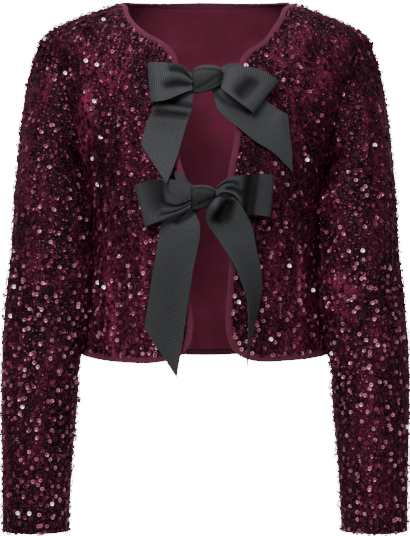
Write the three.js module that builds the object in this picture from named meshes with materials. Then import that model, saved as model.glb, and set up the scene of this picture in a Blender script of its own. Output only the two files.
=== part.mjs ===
// A cropped jacket in burgundy sequinned velvet, open down the front, as it hangs filled out on a wearer.
// Jersey binding finishes the neck, the front edges and the hem, and two ribbon bows hold the fronts.
// Millimetres, +Z up. The wearer faces -Y and the wearer's left is +X.
// The origin lies midway between the two neck points, where the shoulder seams meet the neckline.
import * as THREE from 'three';

// Driving dimensions
const VELVET_WALL = 2;
const LINING_WALL = 1;
const LINING_DEPTH = 2.4;
const RIBBON_WALL = 1.2;
const BINDING_WIDTH = 7.5;
const PIECE_GAP = 0.3;
const BINDING_REACH = BINDING_WIDTH + PIECE_GAP;
const SEAM_PULL = 0.2;
const SECTION_POWER = 2.2;
const HEM_Z = -437;
const BACK_HEM_DIP = 8;
const BACK_NECK_RISE = 5;
const BACK_NECK_ROUNDNESS = 0.8;
const SHOULDER_TIP_Z = -52;
const UNDERARM_Z = -215;
const ARMHOLE_FRONT_DEGREES = 17;
const ARMHOLE_BACK_DEGREES = 16;
const SLEEVE_CAP_END_Z = -250;
const TIP_FLARE_DEGREES = 20;
const UNDERARM_FLARE_DEGREES = 65;
const CAP_DRAPE = 0.8;
const CAP_FULLNESS = 0.85;
const CUFF_Z = -654;
const SLEEVE_CLEARANCE = 4;
const PRESS_SOFTNESS = 4;
const PRESS_END_Z = -470;

// Steps along each piece
const ROWS_BELOW_UNDERARM = 9;
const ROWS_ABOVE_UNDERARM = 12;
const FRONT_COLUMNS = 12;
const SHOULDER_COLUMNS = 5;
const NECK_COLUMNS = 10;
const CAP_STEPS = [0, 0.08, 0.2, 0.35, 0.5, 0.65, 0.8, 1];
const TUBE_STEPS = 10;
const RIBBON_ACROSS = 4;
const RIBBON_STEPS_PER_ROW = 2;
const KNOT_SIDES = 12;
const EDGE_SAMPLES = 400;
const NECK_SAMPLES = 16;
const SHOULDER_SAMPLES = 8;

// How strongly the rows crowd towards the hem, along a front edge and along the side seam
const CORNER_CROWDING = 1.6;
const SEAM_CROWDING = 1.2;

// How quickly the shape of a panel's top border fades downwards
const TOP_FADE = 3;

const { degToRad, radToDeg, lerp, clamp } = THREE.MathUtils;

// Gives each row of numbers the named columns.
function table(columns, rows) {
  return rows.map((row) => Object.fromEntries(columns.map((name, i) => [name, row[i]])));
}

// The body of the jacket, level by level: half its width, and its depth before and behind the shoulder line.
const TORSO = table(['z', 'halfWidth', 'front', 'back'], [
  [-470, 156, 108, 96],
  [-437, 154, 109, 96],
  [-375, 147, 114, 93],
  [-300, 143, 120, 91],
  [-240, 145, 125, 94],
  [-215, 149, 124, 97],
  [-170, 166, 117, 100],
  [-135, 182, 108, 99],
  [-100, 194, 97, 92],
  [-70, 203, 86, 82],
  [-52, 207, 77, 73],
  [-42, 201, 71, 68],
  [-32, 185, 65, 62],
  [-22, 164, 58, 56],
  [-12, 137, 49, 50],
  [-5, 116, 41, 45.5],
  [0, 97, 34, 43],
  [6, 70, 24, 41],
]);

// The sleeve below its cap, for the wearer's left: how far out its outer and inner sides lie, the middle of its
// depth and half of that depth. Where the inner side would reach the body, the body presses it flat.
const SLEEVE = table(['z', 'outer', 'inner', 'centreY', 'halfDepth'], [
  [-656, 248.5, 167, -46, 42],
  [-638, 248.8, 166.5, -45, 43],
  [-564, 249.7, 162.7, -40, 46],
  [-505, 251.2, 157.5, -35, 49],
  [-460, 251, 154, -31, 51],
  [-420, 250, 142, -27, 52],
  [-372, 247, 132, -22, 54],
  [-312, 240.5, 130, -16, 56],
  [-250, 237, 131, -10, 57],
]);

// The finished edge of each front, from the side seam's hem round the corner and up to the neck point.
// Widths are measured from the middle of the body, towards the wearer's own side.
const LEFT_EDGE = table(['x', 'z'], [
  [154, -437],
  [105, -444],
  [60, -444],
  [38, -435],
  [27, -415],
  [25, -390],
  [29, -330],
  [26, -235],
  [37, -165],
  [40, -90],
  [47, -73],
  [70, -55.5],
  [88, -30],
  [96, -12],
  [97, 0],
]);
const RIGHT_EDGE = table(['x', 'z'], [
  [154, -437],
  [105, -446],
  [60, -446],
  [30, -438],
  [17, -420],
  [14, -398],
  [19, -360],
  [24, -300],
  [20, -235],
  [29, -205],
  [31, -160],
  [31, -95],
  [36, -73],
  [50, -58],
  [67, -48],
  [82, -36],
  [93, -20],
  [96.5, -8],
  [97, 0],
]);

// Where each edge is cut into its hem and its front edge, as a share of its length.
const LEFT_CORNER_SHARE = 0.205;
const RIGHT_CORNER_SHARE = 0.215;

// The large folds, each a soft ridge between two places. Angles run round the body from the front middle.
const FOLD_COLUMNS = ['angle', 'z', 'toAngle', 'toZ', 'height', 'width'];
const BODY_FOLDS = table(FOLD_COLUMNS, [
  [64, -44, 50, -88, 3, 8],
  [73, -56, 58, -128, 3.5, 9],
  [-61, -118, -76, -208, 3.5, 11],
  [-72, -58, -56, -104, 3, 9],
  [-38, -300, -35, -437, 2, 12],
  [-57, -300, -54, -437, 3, 12],
  [40, -310, 44, -437, 2, 12],
  [57, -320, 55, -437, 3, 12],
  [150, -120, 128, -196, 3, 13],
  [210, -112, 230, -190, 3, 13],
  [166, -310, 160, -437, 2.5, 15],
  [200, -300, 204, -437, 2.5, 15],
  [122, -262, 118, -430, 3, 15],
  [240, -270, 243, -430, 3, 15],
]);

// On a sleeve the angles run from its outer side over its front.
const LEFT_SLEEVE_FOLDS = table(FOLD_COLUMNS, [
  [150, -338, 95, -362, 4, 9],
  [150, -372, 105, -392, 3, 8],
  [40, -130, 62, -300, 3, 13],
  [100, -440, 88, -620, 3, 12],
  [20, -420, 30, -600, 2.5, 12],
  [230, -320, 290, -350, 3.5, 10],
  [285, -120, 265, -300, 3, 13],
  [240, -460, 262, -630, 3, 12],
]);
const RIGHT_SLEEVE_FOLDS = table(FOLD_COLUMNS, [
  [48, -90, 52, -250, 3.5, 12],
  [76, -250, 70, -350, 3, 12],
  [145, -330, 96, -352, 3, 9],
  [104, -430, 92, -560, 3, 12],
  [34, -390, 42, -610, 2.5, 12],
  [232, -330, 288, -352, 3.5, 10],
  [290, -130, 268, -300, 3, 13],
  [246, -450, 258, -620, 3, 12],
]);
const BODY_MM_PER_DEGREE = 2.2;
const SLEEVE_MM_PER_DEGREE = 0.85;

// The binding's section: how far in from the finished edge, and how far above the velvet's face.
const BINDING_SECTION = table(['inset', 'lift'], [
  [0, -1.6],
  [0, -0.2],
  [1.2, 0.7],
  [6.6, 0.8],
  [BINDING_WIDTH, 0],
  [BINDING_WIDTH, -1.8],
  [6.6, -2.6],
  [1.2, -2.5],
]);

// Ribbon runs, station by station. A and B are the ribbon's two edges, each by its place in the front view
// and its lift off the body. The crown lifts the ribbon's middle.
const RIBBON_COLUMNS = ['xA', 'zA', 'liftA', 'xB', 'zB', 'liftB', 'crown'];
const RIBBON_RUNS = {
  upper_bow_loop_right: table(RIBBON_COLUMNS, [
    [-15.1, -103, 12, -15.1, -119, 11, 0],
    [-26, -90, 17, -30, -125, 16, -2],
    [-42, -86.5, 20, -45, -131.5, 19, 1],
    [-60, -85.5, 18, -57, -133.5, 18, 1],
    [-66.5, -85.6, 15.5, -62.3, -133.5, 15.5, 0],
    [-69, -86, 12, -64.5, -133.5, 12, 0],
    [-66, -86.6, 9.2, -62, -133, 9.2, 0],
    [-60, -87, 8, -56, -129.5, 8, 0],
    [-42, -89, 8, -42, -120, 8, 0],
    [-16, -101, 8, -16, -117, 8, 0],
  ]),
  upper_bow_loop_left: table(RIBBON_COLUMNS, [
    [24, -96, 10.5, 20.5, -112, 10.5, 0],
    [27.5, -93, 15, 19.5, -117, 17, 0],
    [35, -91.5, 19, 27, -124.5, 21, 0],
    [55, -92, 22, 41, -135.5, 23, -3],
    [74, -98, 21, 51, -142.5, 21, -1],
    [84.5, -104.5, 17.6, 56, -146.5, 17.6, 0],
    [88, -108, 13.5, 57, -147.5, 13.5, 0],
    [85.5, -107, 10.6, 55.4, -145.5, 10.6, 0],
    [78, -104, 9.5, 51, -140, 10, 0],
    [55, -99, 9.5, 38, -127, 10.5, 0],
    [24, -97, 8.6, 21, -111, 9, 0],
  ]),
  lower_bow_loop_right: table(RIBBON_COLUMNS, [
    [-16.7, -245.5, 12, -16.7, -259, 12, 0],
    [-24, -249.5, 17, -33, -267.5, 15, 0],
    [-33, -250, 21, -43, -271.5, 18, 0],
    [-42, -244.5, 24, -54, -276, 19, 0],
    [-49, -234.5, 23, -60, -278.5, 20, 0],
    [-57, -227, 20, -65, -280.5, 19, 0],
    [-76, -230.5, 17, -68, -281.8, 17, 0],
    [-82, -232.6, 15.2, -70.4, -282.4, 15.2, 0],
    [-83.5, -233.5, 12.3, -71, -282.5, 12.3, 0],
    [-80.5, -232.5, 9.3, -70, -281.8, 9.3, 0],
    [-72, -229, 8, -66, -280, 8, 0],
    [-50, -226, 7.4, -50, -276, 7.4, 0],
    [-32, -228, 7.4, -34, -270.5, 7.4, 0],
    [-17, -234, 8, -17, -262, 8, 0],
  ]),
  lower_bow_loop_left: table(RIBBON_COLUMNS, [
    [13, -236, 12, 13, -246, 12, 0],
    [24, -227, 17, 22, -242, 16, 0],
    [34, -224, 18, 33, -244.5, 16, 0],
    [44, -222.5, 16, 44, -258, 14, -1],
    [55, -221, 15, 50, -268, 14, -1.5],
    [66, -220.5, 20, 60, -269, 19, 1],
    [76, -220.5, 18, 72, -270.5, 18, 0],
    [80.8, -221.4, 15.8, 76.2, -271, 15.8, 0],
    [82.5, -222, 12.4, 77.5, -271.3, 12.4, 0],
    [79.6, -222, 9.2, 75, -270.4, 9.2, 0],
    [72, -222, 8, 68, -268, 8, 0],
    [48, -224, 7.4, 46, -262, 7.4, 0],
    [24, -231, 7.4, 26, -252, 7.4, 0],
    [13.5, -238, 8, 13.5, -250, 8, 0],
  ]),
  upper_bow_tail_right: table(RIBBON_COLUMNS, [
    [-14, -114, 4.7, -3, -111, 4.7, 0],
    [-33, -121, 4.5, -14, -126, 6, 0],
    [-52, -129, 5, -15, -137, 9, 2],
    [-62.5, -140, 5.5, -17, -147, 9, 5],
    [-67, -152, 5.5, -20.5, -156, 8, 3],
    [-71, -163, 5, -25, -172, 6, 0],
    [-73.5, -172, 5, -31, -193, 5, 0],
    [-75.5, -179, 5, -38, -214, 8, 0],
    [-76.7, -184, 5, -45.8, -232, 13, 0],
  ]),
  upper_bow_tail_left: table(RIBBON_COLUMNS, [
    [14, -109, 4.7, 5, -117, 4.7, 0],
    [36, -114, 4.8, 10.5, -124, 6, 0],
    [55, -121, 5.5, 12, -134, 8.5, 0],
    [68, -128, 5.5, 17, -145, 8.5, 1],
    [76, -133.5, 5.5, 27, -155, 7, 0],
    [85, -139.5, 5.5, 42, -166.5, 6, 0],
    [92, -144, 5.5, 60, -181, 6, 0],
    [97, -147, 5.5, 80, -193, 6.5, 0],
    [99.8, -148.6, 6, 105.5, -216.7, 8, 0],
  ]),
  lower_bow_tail_right: table(RIBBON_COLUMNS, [
    [-15, -253.5, 4.7, -3, -251.5, 4.7, 0],
    [-34, -264, 4.5, -10, -268, 6, 0],
    [-50, -276, 5, -6.2, -280, 9, 3],
    [-54, -288, 5, -6, -292.5, 9, 4],
    [-57, -305, 5, -9, -310.5, 7, 3],
    [-60.5, -326, 5, -14, -334, 6, 0],
    [-64.5, -349, 5, -18.7, -363, 5.5, 0],
    [-68, -371.5, 5, -23.5, -396, 5.5, 0],
    [-70.5, -388, 5.5, -28, -428, 6, 0],
    [-72.8, -404.5, 6, -34, -463.3, 8, 0],
  ]),
  lower_bow_tail_left: table(RIBBON_COLUMNS, [
    [13.2, -249, 14, 33, -247, 15, -5],
    [6, -257, 22, 40, -254, 21, -8],
    [1.5, -268, 24, 47, -265, 20, -9],
    [3, -280, 20, 53, -276, 16, -6],
    [9, -289, 15, 58, -290, 13, -2],
    [22, -308, 13, 62, -312, 9, 2],
    [34, -327, 18, 67, -334, 7, 2],
    [44, -351, 27, 68.5, -358, 6, 0],
    [50.5, -374, 37, 65, -378, 6, 0],
    [51.5, -395, 44, 61, -396, 6, 0],
    [49.6, -451, 46, 60, -400, 8, 0],
  ]),
  upper_bow_tie_right: table(RIBBON_COLUMNS, [
    [-40, -90, 1.9, -40, -122, 1.9, 0],
    [-20, -96, 2.2, -20, -116, 2.2, 0],
    [-1, -100, 3, -1, -113, 3, 0],
  ]),
  upper_bow_tie_left: table(RIBBON_COLUMNS, [
    [44, -86, 1.9, 44, -118, 1.9, 0],
    [34, -85, 2.6, 30, -112, 2.4, 0],
    [20, -90, 2.8, 18, -111, 2.8, 0],
    [1, -99, 3, 1, -112, 3, 0],
  ]),
  lower_bow_tie_right: table(RIBBON_COLUMNS, [
    [-36, -216, 1.9, -36, -250, 1.9, 0],
    [-26, -222, 2.4, -26, -252, 2.4, 0],
    [-16, -232, 2.8, -16, -256, 2.8, 0],
    [-1, -236, 3, -1, -254, 3, 0],
  ]),
  lower_bow_tie_left: table(RIBBON_COLUMNS, [
    [34, -232, 1.9, 34, -262, 1.9, 0],
    [20, -236, 2.2, 20, -258, 2.2, 0],
    [1, -240, 3, 1, -254, 3, 0],
  ]),
};

// Each knot as upright sections from the wearer's right to the left, with its lift behind and before.
const KNOT_COLUMNS = ['x', 'top', 'bottom', 'behind', 'before'];
const KNOTS = {
  upper_bow_knot: table(KNOT_COLUMNS, [
    [-14.5, -97, -121, 6.2, 12.5],
    [-11, -90, -124, 5.8, 15.5],
    [0, -88.5, -122, 5.8, 17],
    [10, -89, -118.5, 5.8, 17],
    [17, -91.5, -113.5, 5.8, 15],
    [19.8, -95, -111, 6.2, 12.5],
  ]),
  lower_bow_knot: table(KNOT_COLUMNS, [
    [-16, -240, -260, 6.2, 12.5],
    [-13, -235, -264, 5.8, 15.5],
    [-2, -234, -262, 5.8, 16.5],
    [7, -235, -259.5, 5.8, 16.5],
    [11, -238, -256, 5.8, 14],
    [12.3, -240, -254, 6.2, 12],
  ]),
};
const KNOT_POWER = 3;

// A cubic between two values, with the slope at each end.
function cubic(start, startSlope, end, endSlope, t) {
  const squared = t * t;
  const cubed = squared * t;
  return start * (2 * cubed - 3 * squared + 1) + startSlope * (cubed - 2 * squared + t)
    + end * (3 * squared - 2 * cubed) + endSlope * (cubed - squared);
}

// A column of a table between its rows, on a smooth curve through them.
function smooth(rows, along, column, at) {
  const last = rows.length - 1;
  const below = clamp(rows.findLastIndex((row) => row[along] <= at), 0, last - 1);
  const span = rows[below + 1][along] - rows[below][along];
  const slope = (i) => {
    const before = rows[Math.max(i - 1, 0)];
    const after = rows[Math.min(i + 1, last)];
    return span * (after[column] - before[column]) / (after[along] - before[along]);
  };
  const t = clamp((at - rows[below][along]) / span, 0, 1);
  return cubic(rows[below][column], slope(below), rows[below + 1][column], slope(below + 1), t);
}

function count(steps) {
  return Array.from({ length: steps + 1 }, (_, i) => i);
}

// The body's form at an angle from the front middle and a height, each level a rounded oval.
function formPoint(angle, z) {
  const sine = Math.sin(degToRad(angle));
  const cosine = Math.cos(degToRad(angle));
  const halfWidth = smooth(TORSO, 'z', 'halfWidth', z);
  const depth = smooth(TORSO, 'z', cosine > 0 ? 'front' : 'back', z);
  const sum = Math.abs(sine / halfWidth) ** SECTION_POWER + Math.abs(cosine / depth) ** SECTION_POWER;
  const radius = sum ** (-1 / SECTION_POWER);
  return new THREE.Vector3(radius * sine, -radius * cosine, z);
}

// The direction straight off the form, from the slopes round it and up it.
function formNormal(angle, z) {
  const step = 0.5;
  const round = formPoint(angle + step, z).sub(formPoint(angle - step, z));
  const up = formPoint(angle, z + step).sub(formPoint(angle, z - step));
  return round.cross(up).normalize();
}

// How far in front of the shoulder line the form lies, at a place in the front view.
function frontDepth(x, z) {
  const share = Math.min(Math.abs(x) / smooth(TORSO, 'z', 'halfWidth', z), 1);
  return smooth(TORSO, 'z', 'front', z) * (1 - share ** SECTION_POWER) ** (1 / SECTION_POWER);
}

// The summed height of the folds, each a ridge that fades with distance from the line along its top.
function foldHeight(folds, angle, z, mmPerDegree) {
  return folds.reduce((sum, fold) => {
    const nearest = 360 * Math.round((fold.angle - angle) / 360);
    const x = (angle + nearest - fold.angle) * mmPerDegree;
    const runX = (fold.toAngle - fold.angle) * mmPerDegree;
    const runZ = fold.toZ - fold.z;
    const along = clamp((x * runX + (z - fold.z) * runZ) / (runX ** 2 + runZ ** 2), 0, 1);
    const away = Math.hypot(x - along * runX, z - fold.z - along * runZ);
    return sum + fold.height * Math.exp(-((away / fold.width) ** 2));
  }, 0);
}

// A point of the velvet, lifted off its face or sunk below it.
function clothPoint({ angle, z }, lift) {
  const height = foldHeight(BODY_FOLDS, angle, z, BODY_MM_PER_DEGREE) + lift;
  return formPoint(angle, z).addScaledVector(formNormal(angle, z), height);
}

// The angle and height of a point near the form, counting the angle on from a given one.
function placeOf(point, nearAngle) {
  const angle = radToDeg(Math.atan2(point.x, -point.y));
  return { angle: angle + 360 * Math.round((nearAngle - angle) / 360), z: point.z };
}

// Cuts a line over the form into pieces with the given shares of its length.
function lineOnForm(places, shares) {
  const points = places.map(({ angle, z }) => formPoint(angle, z));
  const curve = new THREE.CatmullRomCurve3(points, false, 'centripetal');
  return shares.map((share) => {
    const nearest = places[Math.round(share * (places.length - 1))];
    return placeOf(curve.getPointAt(share), nearest.angle);
  });
}

// The same line, moved sideways over the form. Side is the sign of the side that it moves to.
function insetLine(line, distance, side) {
  const points = line.map(({ angle, z }) => formPoint(angle, z));
  return line.map(({ angle, z }, i) => {
    const before = points[Math.max(i - 1, 0)];
    const after = points[Math.min(i + 1, points.length - 1)];
    const along = after.clone().sub(before).normalize();
    const sideways = formNormal(angle, z).cross(along).multiplyScalar(side * distance);
    return placeOf(points[i].clone().add(sideways), angle);
  });
}

// Sets a line's ends exactly on the seams at the body's sides.
function endOnSeams(line, firstAngle, lastAngle) {
  const last = line.length - 1;
  const ends = { 0: firstAngle, [last]: lastAngle };
  return line.map(({ angle, z }, i) => ({ angle: ends[i] ?? angle, z }));
}

// Fills four border lines with a grid of places, mixing opposite borders. The top border's shape fades quickly,
// so that the rows below the armhole run level.
function patch(bottom, top, left, right) {
  const columns = bottom.length - 1;
  const rows = left.length - 1;
  const mixed = (key, i, j) => {
    const u = i / columns;
    const v = (j / rows) ** TOP_FADE;
    const across = lerp(left[j][key], right[j][key], u);
    const upward = lerp(bottom[i][key], top[i][key], v);
    const low = lerp(bottom[0][key], bottom[columns][key], u);
    const high = lerp(top[0][key], top[columns][key], u);
    return across + upward - lerp(low, high, v);
  };
  const place = (i, j) => ({ angle: mixed('angle', i, j), z: mixed('z', i, j) });
  return count(rows).map((j) => count(columns).map((i) => place(i, j)));
}

// A closed solid from points and faces, turned so that its faces point out.
function solid(points, faces) {
  const volume = faces.reduce((sum, [a, b, c]) => (
    sum + points[a].dot(points[b].clone().cross(points[c]))
  ), 0);
  const outward = volume > 0 ? faces : faces.map(([a, b, c]) => [a, c, b]);
  const geometry = new THREE.BufferGeometry();
  geometry.setAttribute('position', new THREE.Float32BufferAttribute(points.flatMap((p) => p.toArray()), 3));
  geometry.setIndex(outward.flat());
  geometry.computeVertexNormals();
  return geometry;
}

function quad(a, b, c, d) {
  return [[a, b, c], [a, c, d]];
}

// A wall between two grids of points. A round wall closes on itself along its rows.
function wall(outer, inner, round = false) {
  const rows = outer.length;
  const columns = outer[0].length;
  const lastColumn = round ? columns : columns - 1;
  const face = (j, i) => j * columns + (i % columns);
  const back = (j, i) => rows * columns + face(j, i);
  const faces = [];
  for (let j = 0; j < rows - 1; j += 1) {
    for (let i = 0; i < lastColumn; i += 1) {
      faces.push(...quad(face(j, i), face(j, i + 1), face(j + 1, i + 1), face(j + 1, i)));
      faces.push(...quad(back(j, i), back(j + 1, i), back(j + 1, i + 1), back(j, i + 1)));
    }
  }
  for (let i = 0; i < lastColumn; i += 1) {
    faces.push(...quad(back(0, i), back(0, i + 1), face(0, i + 1), face(0, i)));
    faces.push(...quad(face(rows - 1, i), face(rows - 1, i + 1), back(rows - 1, i + 1), back(rows - 1, i)));
  }
  for (let j = 0; j < rows - 1 && !round; j += 1) {
    const end = columns - 1;
    faces.push(...quad(face(j, 0), face(j + 1, 0), back(j + 1, 0), back(j, 0)));
    faces.push(...quad(back(j, end), back(j + 1, end), face(j + 1, end), face(j, end)));
  }
  return solid([...outer.flat(), ...inner.flat()], faces);
}

// A solid through closed sections, one after the other, with flat ends.
function loft(sections) {
  const sides = sections[0].length;
  const end = sections.length - 1;
  const at = (k, i) => k * sides + (i % sides);
  const faces = [];
  for (let k = 0; k < end; k += 1) {
    for (let i = 0; i < sides; i += 1) {
      faces.push(...quad(at(k, i), at(k, i + 1), at(k + 1, i + 1), at(k + 1, i)));
    }
  }
  for (let i = 1; i < sides - 1; i += 1) {
    faces.push([at(0, 0), at(0, i + 1), at(0, i)]);
    faces.push([at(end, 0), at(end, i), at(end, i + 1)]);
  }
  return solid(sections.flat(), faces);
}

function stepTowards(from, to, distance) {
  return to.clone().sub(from).setLength(distance);
}

// Draws a panel's seam edges in towards its middle, square to each edge, so that neighbours stay apart.
function pullIn(grid, seams) {
  const lastRow = grid.length - 1;
  const lastColumn = grid[0].length - 1;
  const inward = (j, i, before, after, inside) => {
    const along = after.clone().sub(before).normalize();
    const step = inside.clone().sub(grid[j][i]);
    return step.addScaledVector(along, -step.dot(along)).setLength(SEAM_PULL);
  };
  return grid.map((row, j) => row.map((point, i) => {
    const moved = point.clone();
    const under = grid[Math.max(j - 1, 0)];
    const over = grid[Math.min(j + 1, lastRow)];
    const atLeft = i === 0 && seams.left;
    const atRight = i === lastColumn && seams.right;
    if (atLeft) moved.add(inward(j, i, under[i], over[i], row[1]));
    if (atRight) moved.add(inward(j, i, under[i], over[i], row[lastColumn - 1]));
    if (j === lastRow && seams.top(i)) {
      moved.add(inward(j, i, row[Math.max(i - 1, 0)], row[Math.min(i + 1, lastColumn)], under[i]));
    }
    return moved;
  }));
}

// A panel's wall over a grid of places, from its face down to a depth.
function panel(places, faceDepth, wallThickness, seams) {
  const layer = (depth) => (
    pullIn(places.map((row) => row.map((place) => clothPoint(place, -depth))), seams)
  );
  return wall(layer(faceDepth), layer(faceDepth + wallThickness));
}

// The armhole's edge, turning from the shoulder tip over the front to the underarm and up the back.
function armholePlace(turn) {
  const sine = Math.sin(degToRad(turn));
  const width = sine > 0 ? ARMHOLE_FRONT_DEGREES : ARMHOLE_BACK_DEGREES;
  const drop = (1 - Math.cos(degToRad(turn))) / 2;
  return { angle: 90 - width * sine, z: lerp(SHOULDER_TIP_Z, UNDERARM_Z, drop) };
}

// Mirrors a place to the wearer's right.
function mirrored({ angle, z }, side) {
  return { angle: side * angle, z };
}

// A front's finished edge, cut at its rounded corner into hem stations and front-edge stations.
function frontLines(edge, cornerShare, side) {
  const places = edge.map(({ x, z }) => ({ angle: side * radToDeg(Math.atan2(x, frontDepth(x, z))), z }));
  const samples = lineOnForm(places, count(EDGE_SAMPLES).map((i) => i / EDGE_SAMPLES));
  const underarmShare = samples.findIndex(({ z }, i) => i > EDGE_SAMPLES / 2 && z > UNDERARM_Z) / EDGE_SAMPLES;
  const hem = count(FRONT_COLUMNS).map((i) => cornerShare * i / FRONT_COLUMNS);
  const lower = count(ROWS_BELOW_UNDERARM).map((j) => (
    lerp(cornerShare, underarmShare, (j / ROWS_BELOW_UNDERARM) ** CORNER_CROWDING)
  ));
  const upper = count(ROWS_ABOVE_UNDERARM).map((j) => lerp(underarmShare, 1, j / ROWS_ABOVE_UNDERARM));
  const shares = [...hem, ...lower.slice(1), ...upper.slice(1)];
  return endOnSeams(lineOnForm(places, shares), side * 90, side * 90);
}

// The side seam from the hem to the underarm, then the armhole's edge up to the shoulder tip.
function sideLine(seamAngle, hemZ, armholeTurn) {
  const seam = count(ROWS_BELOW_UNDERARM).map((j) => (
    { angle: seamAngle, z: lerp(hemZ, UNDERARM_Z, (j / ROWS_BELOW_UNDERARM) ** SEAM_CROWDING) }
  ));
  const armhole = count(ROWS_ABOVE_UNDERARM).slice(1)
    .map((j) => armholeTurn(180 * (1 - j / ROWS_ABOVE_UNDERARM)));
  return [...seam, ...armhole];
}

// The shoulder seam from the neck point to the tip.
function shoulderLine(seamAngle, neckZ, columns) {
  const places = count(SHOULDER_SAMPLES).map((i) => (
    { angle: seamAngle, z: lerp(neckZ, SHOULDER_TIP_Z, i / SHOULDER_SAMPLES) }
  ));
  return endOnSeams(lineOnForm(places, count(columns).map((i) => i / columns)), seamAngle, seamAngle)
    .map(({ z }) => ({ angle: seamAngle, z }));
}

// One front panel, as its grid of places.
function frontPlaces(outline, side) {
  const inner = endOnSeams(insetLine(outline, BINDING_REACH, -side), side * 90, side * 90);
  const bottom = inner.slice(0, FRONT_COLUMNS + 1).reverse();
  const left = inner.slice(FRONT_COLUMNS);
  const hemZ = inner[0].z;
  const right = sideLine(side * 90, hemZ, (turn) => mirrored(armholePlace(turn), side));
  const top = shoulderLine(side * 90, inner.at(-1).z, FRONT_COLUMNS);
  return patch(bottom, top, left, right);
}

// The back's hem, lowest at its middle, and its neckline, from the wearer's left to the right.
function backHemLine() {
  const columns = 2 * SHOULDER_COLUMNS + NECK_COLUMNS;
  return count(columns).map((i) => {
    const angle = 90 + 180 * i / columns;
    const dip = Math.sin(degToRad(angle - 90)) ** 2;
    return { angle, z: HEM_Z - BACK_HEM_DIP * dip };
  });
}

function backNeckLine() {
  const places = count(NECK_SAMPLES).map((i) => {
    const angle = 90 + 180 * i / NECK_SAMPLES;
    const rise = Math.sin(degToRad(angle - 90)) ** BACK_NECK_ROUNDNESS;
    return { angle, z: BACK_NECK_RISE * rise };
  });
  return endOnSeams(lineOnForm(places, count(NECK_COLUMNS).map((i) => i / NECK_COLUMNS)), 90, 270);
}

function backPlaces() {
  const bottom = endOnSeams(insetLine(backHemLine(), BINDING_REACH, 1), 90, 270);
  const neck = endOnSeams(insetLine(backNeckLine(), BINDING_REACH, -1), 90, 270);
  const shoulder = shoulderLine(90, neck[0].z, SHOULDER_COLUMNS).reverse();
  const otherShoulder = shoulderLine(270, neck.at(-1).z, SHOULDER_COLUMNS);
  const top = [...shoulder.slice(0, -1), ...neck, ...otherShoulder.slice(1)];
  const backTurn = (turn) => armholePlace(360 - turn);
  const left = sideLine(90, bottom[0].z, backTurn);
  const right = sideLine(270, bottom.at(-1).z, backTurn)
    .map(({ angle, z }, j) => ({ angle: j > ROWS_BELOW_UNDERARM ? 360 - angle : angle, z }));
  return patch(bottom, top, left, right);
}

// A binding folded over a finished edge, with its ends drawn in from the seams.
function binding(line, side) {
  const rims = BINDING_SECTION.map(({ inset, lift }) => (
    endOnSeams(insetLine(line, inset, side), line[0].angle, line.at(-1).angle)
      .map((place) => clothPoint(place, lift))
  ));
  const sections = line.map((_, k) => rims.map((rim) => rim[k]));
  const drawn = (section, next) => section.map((point, i) => (
    point.clone().add(stepTowards(point, next[i], SEAM_PULL))
  ));
  const last = sections.length - 1;
  return loft([
    drawn(sections[0], sections[1]),
    ...sections.slice(1, last),
    drawn(sections[last], sections[last - 1]),
  ]);
}

// A point between two others on a cubic that leaves and arrives along given directions.
function cubicPoint(start, startSlope, end, endSlope, t) {
  return new THREE.Vector3(
    cubic(start.x, startSlope.x, end.x, endSlope.x, t),
    cubic(start.y, startSlope.y, end.y, endSlope.y, t),
    cubic(start.z, startSlope.z, end.z, endSlope.z, t),
  );
}

// The greater of two values, rounded where they cross.
function softMax(a, b, softness) {
  return (a + b + Math.hypot(a - b, softness)) / 2;
}

// How far the body reaches sideways at a depth and a height.
function bodyReach(y, z) {
  const share = Math.min(Math.abs(y) / smooth(TORSO, 'z', y < 0 ? 'front' : 'back', z), 1);
  return smooth(TORSO, 'z', 'halfWidth', z) * (1 - share ** SECTION_POWER) ** (1 / SECTION_POWER);
}

// The sleeve below its cap, at a turn from its outer side over its front.
function sleeveTube(side, turn, z) {
  const outer = smooth(SLEEVE, 'z', 'outer', z);
  const inner = smooth(SLEEVE, 'z', 'inner', z);
  const halfDepth = smooth(SLEEVE, 'z', 'halfDepth', z);
  const y = smooth(SLEEVE, 'z', 'centreY', z) - halfDepth * Math.sin(degToRad(turn));
  const free = (outer + inner) / 2 + Math.cos(degToRad(turn)) * (outer - inner) / 2;
  const pressed = z > PRESS_END_Z ? bodyReach(y, z) + SLEEVE_CLEARANCE : 0;
  return new THREE.Vector3(side * softMax(free, pressed, PRESS_SOFTNESS), y, z);
}

// The sleeve's form: its cap leaves the armhole (step 0) and meets the tube (step 1), which ends at the cuff
// (step 2).
function sleeveForm(side, turn, step) {
  if (step >= 1) return sleeveTube(side, turn, lerp(SLEEVE_CAP_END_Z, CUFF_Z, step - 1));
  const place = mirrored(armholePlace(turn), side);
  const start = clothPoint(place, 0);
  const outward = formNormal(place.angle, place.z);
  const along = clothPoint(mirrored(armholePlace(turn + 2), side), 0)
    .sub(clothPoint(mirrored(armholePlace(turn - 2), side), 0));
  const intoHole = outward.clone().cross(along).normalize().multiplyScalar(side);
  const flare = lerp(TIP_FLARE_DEGREES, UNDERARM_FLARE_DEGREES, (1 - Math.cos(degToRad(turn))) / 2);
  const leaving = intoHole.multiplyScalar(Math.cos(degToRad(flare)))
    .addScaledVector(outward, Math.sin(degToRad(flare)));
  leaving.z -= CAP_DRAPE * Math.abs(Math.sin(degToRad(turn))) * (1 + Math.cos(degToRad(turn))) / 2;
  const end = sleeveTube(side, turn, SLEEVE_CAP_END_Z);
  const arriving = sleeveTube(side, turn, SLEEVE_CAP_END_Z - 5).sub(end);
  const pace = CAP_FULLNESS * start.distanceTo(end);
  return cubicPoint(start, leaving.setLength(pace), end, arriving.setLength(pace), step);
}

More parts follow.
